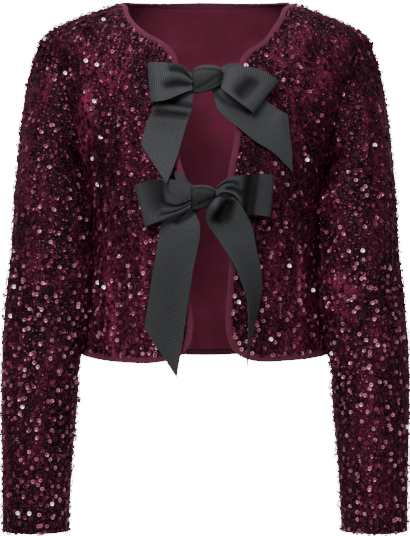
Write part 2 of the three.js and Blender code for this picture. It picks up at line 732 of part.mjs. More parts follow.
// The direction straight off the sleeve, which starts as the body's own at the armhole.
function sleeveNormal(side, turn, step) {
  const nudge = 0.01;
  const round = sleeveForm(side, turn + 1, step).sub(sleeveForm(side, turn - 1, step));
  const down = sleeveForm(side, turn, Math.min(step + nudge, 2))
    .sub(sleeveForm(side, turn, Math.max(step - nudge, 0)));
  const normal = round.cross(down).multiplyScalar(side).normalize();
  const place = mirrored(armholePlace(turn), side);
  const away = clamp(step / CAP_STEPS[1], 0, 1);
  return formNormal(place.angle, place.z).lerp(normal, away).normalize();
}

function sleevePoint(side, folds, turn, step, lift) {
  const point = sleeveForm(side, turn, step);
  const fade = THREE.MathUtils.smoothstep(step, 0, CAP_STEPS[2]);
  const height = fade * foldHeight(folds, turn, point.z, SLEEVE_MM_PER_DEGREE) + lift;
  return point.addScaledVector(sleeveNormal(side, turn, step), height);
}

function sleeve(side, folds) {
  const around = 2 * ROWS_ABOVE_UNDERARM;
  const turns = count(around - 1).map((i) => 360 * i / around);
  const tube = count(TUBE_STEPS).slice(1).map((k) => 1 + k / TUBE_STEPS);
  const layer = (lift) => {
    const rings = [...CAP_STEPS, ...tube].map((step) => (
      turns.map((turn) => sleevePoint(side, folds, turn, step, lift))
    ));
    const drawn = rings[0].map((point, i) => point.clone().add(stepTowards(point, rings[1][i], SEAM_PULL)));
    return [drawn, ...rings.slice(1)];
  };
  return wall(layer(0), layer(-VELVET_WALL), true);
}

// A place in the front view, lifted off the body's form.
function liftedPoint(x, z, lift) {
  return new THREE.Vector3(x, -frontDepth(x, z) - lift, z);
}

// A run of ribbon as a thin wall between its two edges.
function ribbon(rows) {
  const steps = RIBBON_STEPS_PER_ROW * (rows.length - 1);
  const edges = ['A', 'B'].map((edge) => new THREE.CatmullRomCurve3(
    rows.map((row) => liftedPoint(row[`x${edge}`], row[`z${edge}`], row[`lift${edge}`])),
    false,
    'centripetal',
  ));
  const numbered = rows.map((row, i) => ({ ...row, i }));
  const middle = (k) => {
    const t = k / steps;
    const [a, b] = edges.map((edge) => edge.getPoint(t));
    const crown = smooth(numbered, 'i', 'crown', t * (rows.length - 1));
    return count(RIBBON_ACROSS).map((i) => {
      const u = i / RIBBON_ACROSS;
      const bow = 4 * crown * u * (1 - u);
      return a.clone().lerp(b, u).add(new THREE.Vector3(0, -bow, 0));
    });
  };
  const grid = count(steps).map(middle);
  const layer = (lift) => grid.map((row, k) => row.map((point, i) => {
    const along = grid[Math.min(k + 1, steps)][i].clone().sub(grid[Math.max(k - 1, 0)][i]);
    const across = row[Math.min(i + 1, RIBBON_ACROSS)].clone().sub(row[Math.max(i - 1, 0)]);
    return point.clone().addScaledVector(along.cross(across).normalize(), lift);
  }));
  return wall(layer(RIBBON_WALL / 2), layer(-RIBBON_WALL / 2));
}

// A knot of wrapped ribbon, from its rounded upright sections.
function knot(rows) {
  const rounded = (value) => Math.sign(value) * Math.abs(value) ** (2 / KNOT_POWER);
  return loft(rows.map(({ x, top, bottom, behind, before }) => (
    count(KNOT_SIDES - 1).map((i) => {
      const turn = 2 * Math.PI * i / KNOT_SIDES;
      const z = (top + bottom) / 2 + rounded(Math.cos(turn)) * (top - bottom) / 2;
      const lift = (behind + before) / 2 + rounded(Math.sin(turn)) * (before - behind) / 2;
      return liftedPoint(x, z, lift);
    })
  )));
}

// Materials
function finish(colour, roughness) {
  return new THREE.MeshStandardMaterial({ color: colour, roughness, metalness: 0 });
}
const sequinnedVelvet = finish(0x4a1428, 0.6);
const jersey = finish(0x66283f, 0.85);
const lining = finish(0x4d1a2c, 0.85);
const grosgrain = finish(0x33383a, 0.7);

// The jacket
const jacket = new THREE.Group();

function sew(name, geometry, material) {
  const piece = new THREE.Mesh(geometry, material);
  piece.name = name;
  jacket.add(piece);
}

const always = () => true;
const frontSeams = { left: false, right: true, top: always };
const leftOutline = frontLines(LEFT_EDGE, LEFT_CORNER_SHARE, 1);
const rightOutline = frontLines(RIGHT_EDGE, RIGHT_CORNER_SHARE, -1);
sew('front_left', panel(frontPlaces(leftOutline, 1), 0, VELVET_WALL, frontSeams), sequinnedVelvet);
sew('front_right', panel(frontPlaces(rightOutline, -1), 0, VELVET_WALL, frontSeams), sequinnedVelvet);

const back = backPlaces();
const onShoulder = (i) => i <= SHOULDER_COLUMNS || i >= SHOULDER_COLUMNS + NECK_COLUMNS;
const backSeams = { left: true, right: true, top: onShoulder };
sew('back_panel', panel(back, 0, VELVET_WALL, backSeams), sequinnedVelvet);
sew('back_lining', panel(back, LINING_DEPTH, LINING_WALL, backSeams), lining);

sew('sleeve_left', sleeve(1, LEFT_SLEEVE_FOLDS), sequinnedVelvet);
sew('sleeve_right', sleeve(-1, RIGHT_SLEEVE_FOLDS), sequinnedVelvet);

sew('binding_front_left', binding(leftOutline, -1), jersey);
sew('binding_front_right', binding(rightOutline, 1), jersey);
sew('binding_back_neck', binding(backNeckLine(), -1), jersey);
sew('binding_back_hem', binding(backHemLine(), 1), jersey);

for (const [name, rows] of Object.entries(RIBBON_RUNS)) {
  sew(name, ribbon(rows), grosgrain);
}
for (const [name, rows] of Object.entries(KNOTS)) {
  sew(name, knot(rows), grosgrain);
}

export default jacket;
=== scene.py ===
"""A cropped jacket in burgundy sequinned velvet, open down the front and held by two ribbon bows.

Every table is in millimetres, +Z up, in the frame of the CAD part; meshes are made in metres.
The wearer faces -Y, the wearer's left is +X, and the origin lies midway between the two neck points.
"""

import bpy
import numpy as np
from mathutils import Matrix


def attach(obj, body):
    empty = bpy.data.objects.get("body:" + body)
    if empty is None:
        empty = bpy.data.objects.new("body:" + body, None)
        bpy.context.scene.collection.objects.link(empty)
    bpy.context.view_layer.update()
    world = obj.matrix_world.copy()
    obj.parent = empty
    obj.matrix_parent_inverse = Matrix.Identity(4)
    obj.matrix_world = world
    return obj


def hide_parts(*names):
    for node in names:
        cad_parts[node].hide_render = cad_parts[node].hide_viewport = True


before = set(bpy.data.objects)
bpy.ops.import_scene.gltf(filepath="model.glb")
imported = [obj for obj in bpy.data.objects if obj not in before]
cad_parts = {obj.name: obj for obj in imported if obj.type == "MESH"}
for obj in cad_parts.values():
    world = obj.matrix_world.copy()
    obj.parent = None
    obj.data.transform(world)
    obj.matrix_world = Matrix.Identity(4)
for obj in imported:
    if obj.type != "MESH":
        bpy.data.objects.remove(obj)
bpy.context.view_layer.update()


# Camera
# Straight in front of the jacket, level with its middle and far off, so that it shows almost no
# perspective.
camera_data = bpy.data.cameras.new("camera")
camera_data.lens = 139.7
camera_data.sensor_width = 36
camera = bpy.data.objects.new("camera", camera_data)
camera.location = (0, -2.6, -0.332)
camera.rotation_euler = (np.pi / 2, 0, 0)
bpy.context.scene.collection.objects.link(camera)
bpy.context.scene.camera = camera


# Studio
# Pale light all round with a white card behind, three large soft lamps, one small lamp that makes the
# flattest sequins flash, and a pale floor. Rows of the world's light: share of the way to straight behind
# where it starts and ends, and its strength at both.
BACKDROP_LIGHT = [(-0.3, 0.9, 0.08, 1.0), (0.95, 0.985, 0, 16)]
world = bpy.data.worlds.new("studio")
bpy.context.scene.world = world
world.use_nodes = True
sky = world.node_tree
direction = sky.nodes.new("ShaderNodeTexCoord")
split = sky.nodes.new("ShaderNodeSeparateXYZ")
sky.links.new(direction.outputs["Generated"], split.inputs[0])
both = sky.nodes.new("ShaderNodeMath")
for term, limits in enumerate(BACKDROP_LIGHT):
    fade = sky.nodes.new("ShaderNodeMapRange")
    for key, limit in zip(("From Min", "From Max", "To Min", "To Max"), limits):
        fade.inputs[key].default_value = limit
    sky.links.new(split.outputs["Y"], fade.inputs["Value"])
    sky.links.new(fade.outputs["Result"], both.inputs[term])
sky.links.new(both.outputs[0], sky.nodes["Background"].inputs["Strength"])
sky.nodes["Background"].inputs["Color"].default_value = (1, 1, 1, 1)


def area_lamp(name, place, size, power):
    """A square lamp at a place, turned towards the jacket's middle."""
    data = bpy.data.lights.new(name, "AREA")
    data.size = size
    data.energy = power
    lamp = bpy.data.objects.new(name, data)
    lamp.location = place
    aim = np.array((0, 0, -0.3)) - np.array(place)
    lamp.rotation_euler = (np.arccos(-aim[2] / np.linalg.norm(aim)), 0, np.arctan2(-aim[0], aim[1]))
    bpy.context.scene.collection.objects.link(lamp)


area_lamp("key", (-0.55, -1.5, 0.8), 0.8, 35)
area_lamp("fill", (1.4, -1.9, 0.5), 0.9, 7)
area_lamp("top", (0, -0.4, 1.4), 0.9, 15)
area_lamp("flash", (0.25, -2.5, 0.35), 0.12, 5)

FLOOR_REACH, FLOOR_LEVEL = 2.4, -1
floor_mesh = bpy.data.meshes.new("floor")
quarters = ((-1, -1), (1, -1), (1, 1), (-1, 1))
floor_corners = [(x * FLOOR_REACH, y * FLOOR_REACH, FLOOR_LEVEL) for x, y in quarters]
floor_mesh.from_pydata(floor_corners, [], [(0, 1, 2, 3)])
floor = bpy.data.objects.new("floor", floor_mesh)
bpy.context.scene.collection.objects.link(floor)
floor_material = bpy.data.materials.new("pale_floor")
floor_material.use_nodes = True
floor_shader = floor_material.node_tree.nodes["Principled BSDF"]
floor_shader.inputs["Base Color"].default_value = (0.8, 0.8, 0.8, 1)
floor_shader.inputs["Roughness"].default_value = 0.9
floor_mesh.materials.append(floor_material)


# Fronts
# Two panels of stretch velvet lined with jersey, each sewn at its side, shoulder and armhole. The body's
# form under them is a rounded oval at each level: height, half its width, depth before and behind.
TORSO = np.array([
    (-470, 156, 108, 96),
    (-437, 154, 109, 96),
    (-375, 147, 114, 93),
    (-300, 143, 120, 91),
    (-240, 145, 125, 94),
    (-215, 149, 124, 97),
    (-170, 166, 117, 100),
    (-135, 182, 108, 99),
    (-100, 194, 97, 92),
    (-70, 203, 86, 82),
    (-52, 207, 77, 73),
    (-42, 201, 71, 68),
    (-32, 185, 65, 62),
    (-22, 164, 58, 56),
    (-12, 137, 49, 50),
    (-5, 116, 41, 45.5),
    (0, 97, 34, 43),
    (6, 70, 24, 41),
])
HEM, SHOULDER_TIP, UNDERARM = -437, -52, -215
OVAL_POWER = 2.2
MM_A_DEGREE = 2.2
ARMHOLE_FRONT, ARMHOLE_BACK = 17, 16
BINDING_REACH = 7.8
SEAM_GAP = 0.2
VELVET = 2
LOWER_ROWS, UPPER_ROWS, FRONT_COLUMNS = 60, 64, 52
PATH_SAMPLES, EDGE_SAMPLES = 1600, 400
UNDERARM_LEVEL = 9 / 21

# A front's finished edge, from the hem at its side seam round the corner to the neck point: distance from
# the middle of the body, and height.
LEFT_EDGE = np.array([
    (154, -437), (105, -444), (60, -444), (38, -435), (27, -415), (25, -390), (29, -330), (26, -235),
    (37, -165), (40, -90), (47, -73), (70, -55.5), (88, -30), (96, -12), (97, 0),
])
RIGHT_EDGE = np.array([
    (154, -437), (105, -446), (60, -446), (30, -438), (17, -420), (14, -398), (19, -360), (24, -300),
    (20, -235), (29, -205), (31, -160), (31, -95), (36, -73), (50, -58), (67, -48), (82, -36),
    (93, -20), (96.5, -8), (97, 0),
])

# Folds of the body: angle and height where each starts and ends, how far it stands out, and its half width.
BODY_FOLDS = np.array([
    (90, -212, 90, -248, 3, 8),
    (-90, -212, -90, -248, 3, 8),
    (64, -44, 50, -88, 3, 8),
    (73, -56, 58, -128, 3.5, 9),
    (-61, -118, -76, -208, 3.5, 11),
    (-72, -58, -56, -104, 3, 9),
    (-38, -300, -35, -437, 2, 12),
    (-57, -300, -54, -437, 3, 12),
    (40, -310, 44, -437, 2, 12),
    (57, -320, 55, -437, 3, 12),
    (150, -120, 128, -196, 3, 13),
    (210, -112, 230, -190, 3, 13),
    (166, -310, 160, -437, 2.5, 15),
    (200, -300, 204, -437, 2.5, 15),
    (122, -262, 118, -430, 3, 15),
    (240, -270, 243, -430, 3, 15),
    (52, -60, 38, -96, 1.4, 4),
    (60, -78, 47, -140, 1.5, 4.5),
    (68, -100, 60, -180, 1.6, 5),
    (36, -120, 41, -210, 1.2, 5),
    (-50, -70, -44, -120, 1.4, 4.5),
    (-66, -96, -60, -160, 1.5, 4.5),
    (-43, -150, -47, -240, 1.2, 5),
    (-70, -220, -58, -262, 1.4, 5),
    (70, -226, 57, -262, 1.4, 5),
    (-46, -330, -45, -430, 1.2, 5),
    (48, -330, 50, -430, 1.2, 5),
    (70, -340, 68, -430, 1.3, 6),
    (-72, -330, -69, -430, 1.3, 6),
    (176, -130, 172, -220, 1.4, 7),
    (188, -300, 186, -430, 1.4, 7),
    (144, -290, 140, -430, 1.4, 7),
    (222, -300, 224, -430, 1.4, 7),
])


def unit(vectors):
    """Vectors divided by their length."""
    return vectors / np.linalg.norm(vectors, axis=-1, keepdims=True)


def cubic(start, start_slope, end, end_slope, t):
    """Curve between two ends with given slopes: start (2 t^3 - 3 t^2 + 1) + its slope (t^3 - 2 t^2 + t) +
    end (3 t^2 - 2 t^3) + its slope (t^3 - t^2)."""
    return (start * (2 * t**3 - 3 * t**2 + 1) + start_slope * (t**3 - 2 * t**2 + t)
            + end * (3 * t**2 - 2 * t**3) + end_slope * (t**3 - t**2))


def smooth(at, knots, values):
    """Cubic through knots: slope at knot i = (value i+1 - value i-1) / (knot i+1 - knot i-1)."""
    before = np.maximum(np.arange(len(knots)) - 1, 0)
    after = np.minimum(np.arange(len(knots)) + 1, len(knots) - 1)
    slope = (values[after] - values[before]) / (knots[after] - knots[before])
    low = np.clip(np.searchsorted(knots, at, side="right") - 1, 0, len(knots) - 2)
    span = knots[low + 1] - knots[low]
    t = np.clip((at - knots[low]) / span, 0, 1)
    return cubic(values[low], span * slope[low], values[low + 1], span * slope[low + 1], t)


def through(stations, at):
    """Curve through stations at station numbers. Its slope at each is the one before, less the one across,
    plus the one after, each over gaps of the square root of the distance."""
    ends = (2 * stations[:1] - stations[1:2], stations, 2 * stations[-1:] - stations[-2:-1])
    padded = np.concatenate(ends)
    gap = np.sqrt(np.linalg.norm(np.diff(padded, axis=0), axis=1))[:, None]
    pace = np.diff(padded, axis=0) / gap
    slope = pace[:-1] + pace[1:] - (padded[2:] - padded[:-2]) / (gap[1:] + gap[:-1])
    low = np.clip(at.astype(int), 0, len(stations) - 2)
    span = gap[1:-1][low]
    return cubic(stations[low], slope[low] * span, stations[low + 1], slope[low + 1] * span,
                 (at - low)[:, None])


def column(table, k, at):
    """Column k of a table, smoothed between rows that lie where its first column says."""
    return smooth(at, table[:, 0], table[:, k])


def body_form(angle, height):
    """Point of the body: radius = (|sin a / half width|^2.2 + |cos a / depth|^2.2)^(-1/2.2)."""
    turn, height = np.broadcast_arrays(np.radians(angle), height)
    half_width, front, back = (column(TORSO, k, height) for k in (1, 2, 3))
    depth = np.where(np.cos(turn) > 0, front, back)
    sideways = np.abs(np.sin(turn) / half_width) ** OVAL_POWER
    radius = (sideways + np.abs(np.cos(turn) / depth) ** OVAL_POWER) ** (-1 / OVAL_POWER)
    return np.stack([radius * np.sin(turn), -radius * np.cos(turn), height], axis=-1)


def body_normal(angle, height):
    """Direction off the body: slope round it x slope up it."""
    around = body_form(angle + 0.5, height) - body_form(angle - 0.5, height)
    return unit(np.cross(around, body_form(angle, height + 0.5) - body_form(angle, height - 0.5)))


def oval_reach(share):
    """Share of the oval's one half axis at a share of the other: (1 - share^2.2)^(1/2.2)."""
    return (1 - np.minimum(share, 1) ** OVAL_POWER) ** (1 / OVAL_POWER)


def front_depth(x, height):
    """How far before the shoulder line the body lies: depth * the oval's reach at |x| / half width."""
    return column(TORSO, 2, height) * oval_reach(np.abs(x) / column(TORSO, 1, height))


def fold_height(folds, across, height, scale):
    """Sum over the folds of rise * exp(-(distance from the fold's line / its half width)^2)."""
    total = np.zeros(np.broadcast(across, height).shape)
    for start, low, end, high, rise, width in folds:
        x = ((across - start + 180) % 360 - 180) * scale
        z = height - low
        run_x, run_z = (end - start) * scale, high - low
        along = np.clip((x * run_x + z * run_z) / (run_x**2 + run_z**2), 0, 1)
        total += rise * np.exp(-((x - along * run_x) ** 2 + (z - along * run_z) ** 2) / width**2)
    return total


def body_cloth(angle, height, lift):
    """Point of the velvet's face, or lifted off it: body + normal * (folds + lift)."""
    off = fold_height(BODY_FOLDS, angle, height, MM_A_DEGREE) + lift
    return body_form(angle, height) + body_normal(angle, height) * off[..., None]


def places_of(points, near):
    """Angle and height of points, the angle counted within half a turn of a given one."""
    angle = np.degrees(np.arctan2(points[..., 0], -points[..., 1]))
    return np.stack([near + (angle - near + 180) % 360 - 180, points[..., 2]], axis=-1)


def walked(points, axis=0):
    """Distance walked along rows or columns of points, at each of them."""
    first = np.take(points, [0], axis=axis)
    steps = np.diff(points, axis=axis, prepend=first)
    return np.cumsum(np.linalg.norm(steps, axis=-1), axis=axis)


def along_line(knots, shares, near):
    """Places at shares of the length of the curve through some places."""
    path = through(body_form(*knots.T), np.linspace(0, len(knots) - 1, PATH_SAMPLES))
    reached = walked(path)
    points = [np.interp(shares * reached[-1], reached, path[:, k]) for k in range(3)]
    return places_of(np.stack(points, axis=1), near)


def inset(line, distance, near):
    """A line moved sideways over the body: point + distance * (normal x direction of the line)."""
    points = body_form(*line.T)
    sideways = np.cross(body_normal(*line.T), unit(np.gradient(points, axis=0)))
    moved = places_of(points + distance * sideways, near)
    moved[[0, -1], 0] = line[[0, -1], 0]
    return moved


def patch(bottom, top, left, right):
    """Grid of places between four borders: sides' mix + ends' mix at share^3 - corners' mix. Its rows are
    evenly spaced below the underarm and above it."""
    below = np.linspace(0, UNDERARM_LEVEL, LOWER_ROWS + 1)
    above = np.linspace(UNDERARM_LEVEL, 1, UPPER_ROWS + 1)[1:]
    u = np.linspace(0, 1, len(bottom))[None, :, None]
    v = np.concatenate([below, above])[:, None, None] ** 3
    across = left[:, None] * (1 - u) + right[:, None] * u
    upward = bottom[None] * (1 - v) + top[None] * v
    low = bottom[0] * (1 - u) + bottom[-1] * u
    high = top[0] * (1 - u) + top[-1] * u
    return across + upward - low * (1 - v) - high * v


def armhole(turn):
    """Place on the armhole, from the shoulder tip (0) over the front to the underarm (180)."""
    wide = np.where(np.sin(np.radians(turn)) > 0, ARMHOLE_FRONT, ARMHOLE_BACK)
    drop = (1 - np.cos(np.radians(turn))) / 2
    height = SHOULDER_TIP + (UNDERARM - SHOULDER_TIP) * drop
    return np.stack([90 - wide * np.sin(np.radians(turn)), height], axis=-1)


def side_line(hem, sign):
    """Side seam to the underarm, then the armhole's front (sign 1) or back (-1) to the shoulder."""
    low = np.linspace(0, 1, LOWER_ROWS + 1) ** 1.2
    seam = np.stack([np.full_like(low, 90), hem + (UNDERARM - hem) * low], axis=1)
    return np.concatenate([seam, armhole(sign * np.linspace(180, 0, UPPER_ROWS + 1)[1:])])


def shoulder_line(angle, neck, columns):
    """Shoulder seam from the neck point to the tip, evenly spaced along its length."""
    knots = np.stack([np.full(9, float(angle)), np.linspace(neck, SHOULDER_TIP, 9)], axis=1)
    line = along_line(knots, np.linspace(0, 1, columns + 1), angle)
    line[:, 0] = angle
    return line


def front_outline(edge, corner, side):
    """Front's finished edge: hem places up to the corner's share of it, then front-edge places."""
    x, z = edge.T
    knots = np.stack([side * np.degrees(np.arctan2(x, front_depth(x, z))), z], axis=1)
    sample = along_line(knots, np.linspace(0, 1, EDGE_SAMPLES + 1), 0)
    armpit = np.argmax(sample[:, 1] > UNDERARM) / EDGE_SAMPLES
    hem = np.linspace(0, corner, FRONT_COLUMNS + 1)
    lower = corner + (armpit - corner) * np.linspace(0, 1, LOWER_ROWS + 1)[1:] ** 1.6
    upper = np.linspace(armpit, 1, UPPER_ROWS + 1)[1:]
    line = along_line(knots, np.concatenate([hem, lower, upper]), 0)
    line[[0, -1], 0] = side * 90
    return line


def front_places(outline, side):
    """Grid of places on a front, inside its binding."""
    inner = inset(outline, -side * BINDING_REACH, 0)
    seam = side_line(inner[0, 1], 1) * (side, 1)
    top = shoulder_line(side * 90, inner[-1, 1], FRONT_COLUMNS)
    return patch(inner[: FRONT_COLUMNS + 1][::-1], top, inner[FRONT_COLUMNS:], seam)


def new_mesh(name, points, quads, uv, materials, inner=None):
    """A smooth mesh in metres, a UV pair for each corner, and inner faces in the last material."""
    mesh = bpy.data.meshes.new(name)
    mesh.from_pydata((points * 0.001).tolist(), [], quads.tolist())
    mesh.uv_layers.new(name="UVMap").data.foreach_set("uv", uv.astype(np.float32).ravel())
    for material in materials:
        mesh.materials.append(material)
    if inner is not None:
        mesh.polygons.foreach_set("material_index", (inner * (len(materials) - 1)).astype(np.int32))
    mesh.shade_smooth()
    mesh.set_sharp_from_angle(angle=np.radians(50))
    made = bpy.data.objects.new(name, mesh)
    bpy.context.scene.collection.objects.link(made)
    return made


def grid_quads(index):
    """Quads between the rows and columns of a grid of point numbers."""
    return np.stack([index[:-1, :-1], index[:-1, 1:], index[1:, 1:], index[1:, :-1]], axis=-1).reshape(-1, 4)


def wrapped(grid):
    """A grid with its first column once more at its end."""
    return np.concatenate([grid, grid[:, :1]], axis=1)


def walked_uv(grid):
    """UV of a grid's quads: the distance along each row and column, in metres."""
    u, v = (walked(grid, axis).ravel() for axis in (1, 0))
    numbers = np.arange(len(u)).reshape(grid.shape[:2])
    return np.stack([u, v], axis=-1)[grid_quads(numbers)] * 0.001


def facing_out(points, quads, uv):
    """The quads of a closed mesh, turned over if the sum of a . (b x c) over them is negative."""
    a, b, c, d = (points[quads[:, k]] for k in range(4))
    volume = np.sum(a * np.cross(b, c)) + np.sum(a * np.cross(c, d))
    return (quads, uv) if volume > 0 else (quads[:, ::-1], uv[:, ::-1])


def cloth_wall(name, face, back, materials, around=False):
    """Two layers of a cloth and the rims that join them. Around closes each row on itself."""
    shift = face.shape[0] * face.shape[1]
    index = np.arange(shift).reshape(face.shape[:2])
    shown = wrapped(face) if around else face
    if around:
        index = wrapped(index)
        borders = [index[0], index[-1, ::-1]]
    else:
        borders = [np.concatenate([index[0], index[1:, -1], index[-1, -2::-1], index[-2::-1, 0]])]
    layer = grid_quads(index)
    rims = [np.stack([ring[1:], ring[:-1], ring[:-1] + shift, ring[1:] + shift], axis=1) for ring in borders]
    quads = np.concatenate([layer, layer[:, ::-1] + shift, *rims])
    inner = np.zeros(len(quads))
    inner[len(layer): 2 * len(layer)] = 1
    uv = walked_uv(shown)
    uv = np.concatenate([uv, uv[:, ::-1], np.zeros((len(quads) - 2 * len(layer), 4, 2))])
    points = np.concatenate([face.reshape(-1, 3), back.reshape(-1, 3)])
    return new_mesh(name, points, *facing_out(points, quads, uv), materials, inner)


def new_material(name, **sockets):
    """A material whose shader has these constants, and functions that link more of its sockets, add a node
    and add a colour ramp."""
    made = bpy.data.materials.new(name)
    made.use_nodes = True
    tree = made.node_tree
    shader = tree.nodes["Principled BSDF"]

    def put(target, inputs):
        for key, value in inputs.items():
            if isinstance(value, bpy.types.NodeSocket):
                tree.links.new(value, target.inputs[key])
            else:
                target.inputs[key].default_value = value

    def node(kind, inputs, **settings):
        added = tree.nodes.new("ShaderNode" + kind)
        for key, value in settings.items():
            setattr(added, key, value)
        put(added, inputs)
        return added.outputs

    def ramp(value, *stops):
        added = tree.nodes.new("ShaderNodeValToRGB")
        added.color_ramp.elements[0].position = stops[0][0]
        added.color_ramp.elements[1].position = stops[-1][0]
        for position, _ in stops[1:-1]:
            added.color_ramp.elements.new(position)
        for element, (_, colour) in zip(added.color_ramp.elements, stops):
            element.color = (*colour, 1)
        tree.links.new(value, added.inputs[0])
        return added.outputs[0]

    put(shader, sockets)
    return made, lambda inputs: put(shader, inputs), node, ramp


def sequinned_velvet():
    """Velvet whose crushed pile goes from near black to rose: tone = 0.45 * streaks + 0.55 * grain + 0.032 *
    the fold's height. That last term is painted shade in the folds' hollows and painted highlight along
    their ridges. Painted glints dot the pile."""
    made, shade, node, ramp = new_material("sequinned_velvet", **{
        "Roughness": 0.8, "Specular IOR Level": 0.08, "Sheen Weight": 0.2, "Sheen Roughness": 0.35,
        "Sheen Tint": (0.75, 0.05, 0.19, 1)})
    place = node("TexCoord", {})["Object"]
    shading_height = node("Attribute", {}, attribute_name="shading_height")["Fac"]
    tall = node("Mapping", {"Vector": place, "Scale": (1, 1, 0.3)})[0]
    streaks = node("TexNoise", {
        "Vector": tall, "Scale": 40, "Detail": 4, "Roughness": 0.6, "Distortion": 0.5})[0]
    grain = node("TexNoise", {"Vector": place, "Scale": 330, "Detail": 3, "Roughness": 0.7})[0]
    # Painted highlight on the folds' ridges and painted shade in their hollows: 0.032 of tone a millimetre.
    painted_fold_light = node("Math", {0: shading_height, 1: 0.032}, operation="MULTIPLY")[0]
    level = node("Math", {0: grain, 1: 0.55, 2: painted_fold_light}, operation="MULTIPLY_ADD")[0]
    level = node("Math", {0: streaks, 1: 0.45, 2: level}, operation="MULTIPLY_ADD")[0]
    tone = ramp(level, (0.42, (0.0018, 0.0004, 0.0009)), (0.51, (0.017, 0.0011, 0.005)),
                (0.6, (0.066, 0.0044, 0.018)), (0.74, (0.22, 0.02, 0.066)))
    ends = node("TexNoise", {"Vector": place, "Scale": 900, "Detail": 1})[0]
    # Painted glints: pale rose specks mixed into the colour where the fine noise is high.
    painted_glint = ramp(ends, (0.64, (0, 0, 0)), (0.72, (1, 1, 1)))
    colour = node("Mix", {0: painted_glint, 6: tone, 7: (0.3, 0.09, 0.15, 1)}, data_type="RGBA")[2]
    rough = node("Bump", {"Height": ends, "Strength": 0.5, "Distance": 0.0005})[0]
    crushed = node("Bump", {"Height": streaks, "Normal": rough, "Strength": 0.7, "Distance": 0.004})[0]
    shade({"Base Color": colour, "Normal": crushed})
    return made


def jersey(name, colour, light):
    """Matte knit: wales 1.1 mm apart and courses 0.9 mm apart on the UV, faintly uneven in colour."""
    made, shade, node, ramp = new_material(name, **{
        "Roughness": 0.85, "Specular IOR Level": 0.25, "Sheen Weight": 0.25, "Sheen Roughness": 0.5,
        "Sheen Tint": (0.8, 0.25, 0.38, 1)})
    flat = node("TexCoord", {})["UV"]
    wave = {"Vector": flat, "Distortion": 0.6, "Detail": 1}
    wales = node("TexWave", {"Scale": 285, **wave}, bands_direction="X")[1]
    courses = node("TexWave", {"Scale": 360, **wave}, bands_direction="Y")[1]
    knit = node("Math", {0: wales, 1: courses}, operation="MULTIPLY")[0]
    uneven = node("TexNoise", {"Vector": node("TexCoord", {})["Object"], "Scale": 30, "Detail": 4})[0]
    blend = node("Math", {0: knit, 1: 0.35, 2: uneven}, operation="MULTIPLY_ADD")[0]
    shade({"Base Color": ramp(blend, (0.3, colour), (0.95, light)),
           "Normal": node("Bump", {"Height": knit, "Strength": 0.35, "Distance": 0.0003})[0]})
    return made


def store_shading_height(piece, rise):
    """Stores the shading height in millimetres at each point of both layers: how far the folds stand out,
    with any painted shade the caller adds, from which the materials paint shade into hollows and highlight
    onto ridges.
    """
    values = np.tile(rise.ravel(), 2).astype(np.float32)
    piece.data.attributes.new("shading_height", "FLOAT", "POINT").data.foreach_set("value", values)


def body_layers(places, lifts):
    """The body's cloth at some lifts off its face, and its folds' height."""
    angle, height = np.moveaxis(places, -1, 0)
    layers = [body_cloth(angle, height, lift) for lift in lifts]
    return layers, fold_height(BODY_FOLDS, angle, height, MM_A_DEGREE)


velvet = sequinned_velvet()
lining = jersey("jersey_lining", (0.105, 0.0085, 0.029), (0.175, 0.0195, 0.055))
faces = {}
outlines = {
    "left": (front_outline(LEFT_EDGE, 0.205, 1), 1),
    "right": (front_outline(RIGHT_EDGE, 0.215, -1), -1),
}
for name, (outline, side) in outlines.items():
    layers, rise = body_layers(front_places(outline, side), (0, -VELVET))
    faces[f"front_{name}"] = layers[0]
    front = cloth_wall(f"velvet_front_{name}", *layers, [velvet, lining])
    store_shading_height(front, rise)
    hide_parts(f"front_{name}")
    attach(front, "root")


# Back
# One velvet panel from side to side, with its own jersey lining behind it, the only lining in sight.
SHOULDER_COLUMNS, NECK_COLUMNS = 22, 44
NECK_RISE, HEM_DROP = 5, 8
LINING_FACE, LINING_INSIDE = -2.4, -3.4


def back_neck_line():
    """Back neckline: height = 5 * sin(angle - 90)^0.8, evenly spaced."""
    angle = np.linspace(90, 270, 17)
    rise = NECK_RISE * np.abs(np.sin(np.radians(angle - 90))) ** 0.8
    line = along_line(np.stack([angle, rise], axis=1), np.linspace(0, 1, NECK_COLUMNS + 1), 180)
    line[[0, -1], 0] = 90, 270
    return line


def back_hem_line():
    """Back hem: height = -437 - 8 * sin(angle - 90)^2, lowest at the middle."""
    angle = np.linspace(90, 270, 2 * SHOULDER_COLUMNS + NECK_COLUMNS + 1)
    return np.stack([angle, HEM - HEM_DROP * np.sin(np.radians(angle - 90)) ** 2], axis=1)


def back_places():
    """Grid of places on the back, inside its bindings."""
    bottom = inset(back_hem_line(), BINDING_REACH, 180)
    neck = inset(back_neck_line(), -BINDING_REACH, 180)
    shoulder = shoulder_line(90, neck[0, 1], SHOULDER_COLUMNS)[::-1]
    other = shoulder_line(270, neck[-1, 1], SHOULDER_COLUMNS)
    seam = side_line(bottom[0, 1], -1)
    return patch(bottom, np.concatenate([shoulder[:-1], neck, other[1:]]), seam, (360, 0) + seam * (-1, 1))


layers, rise = body_layers(back_places(), (0, -VELVET, LINING_FACE, LINING_INSIDE))
faces["back_panel"] = layers[0]
back = cloth_wall("velvet_back", *layers[:2], [velvet, lining])
store_shading_height(back, rise)
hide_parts("back_panel")
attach(back, "root")
back_lining = cloth_wall("lining_back", *layers[2:], [lining])
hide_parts("back_lining")
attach(back_lining, "root")
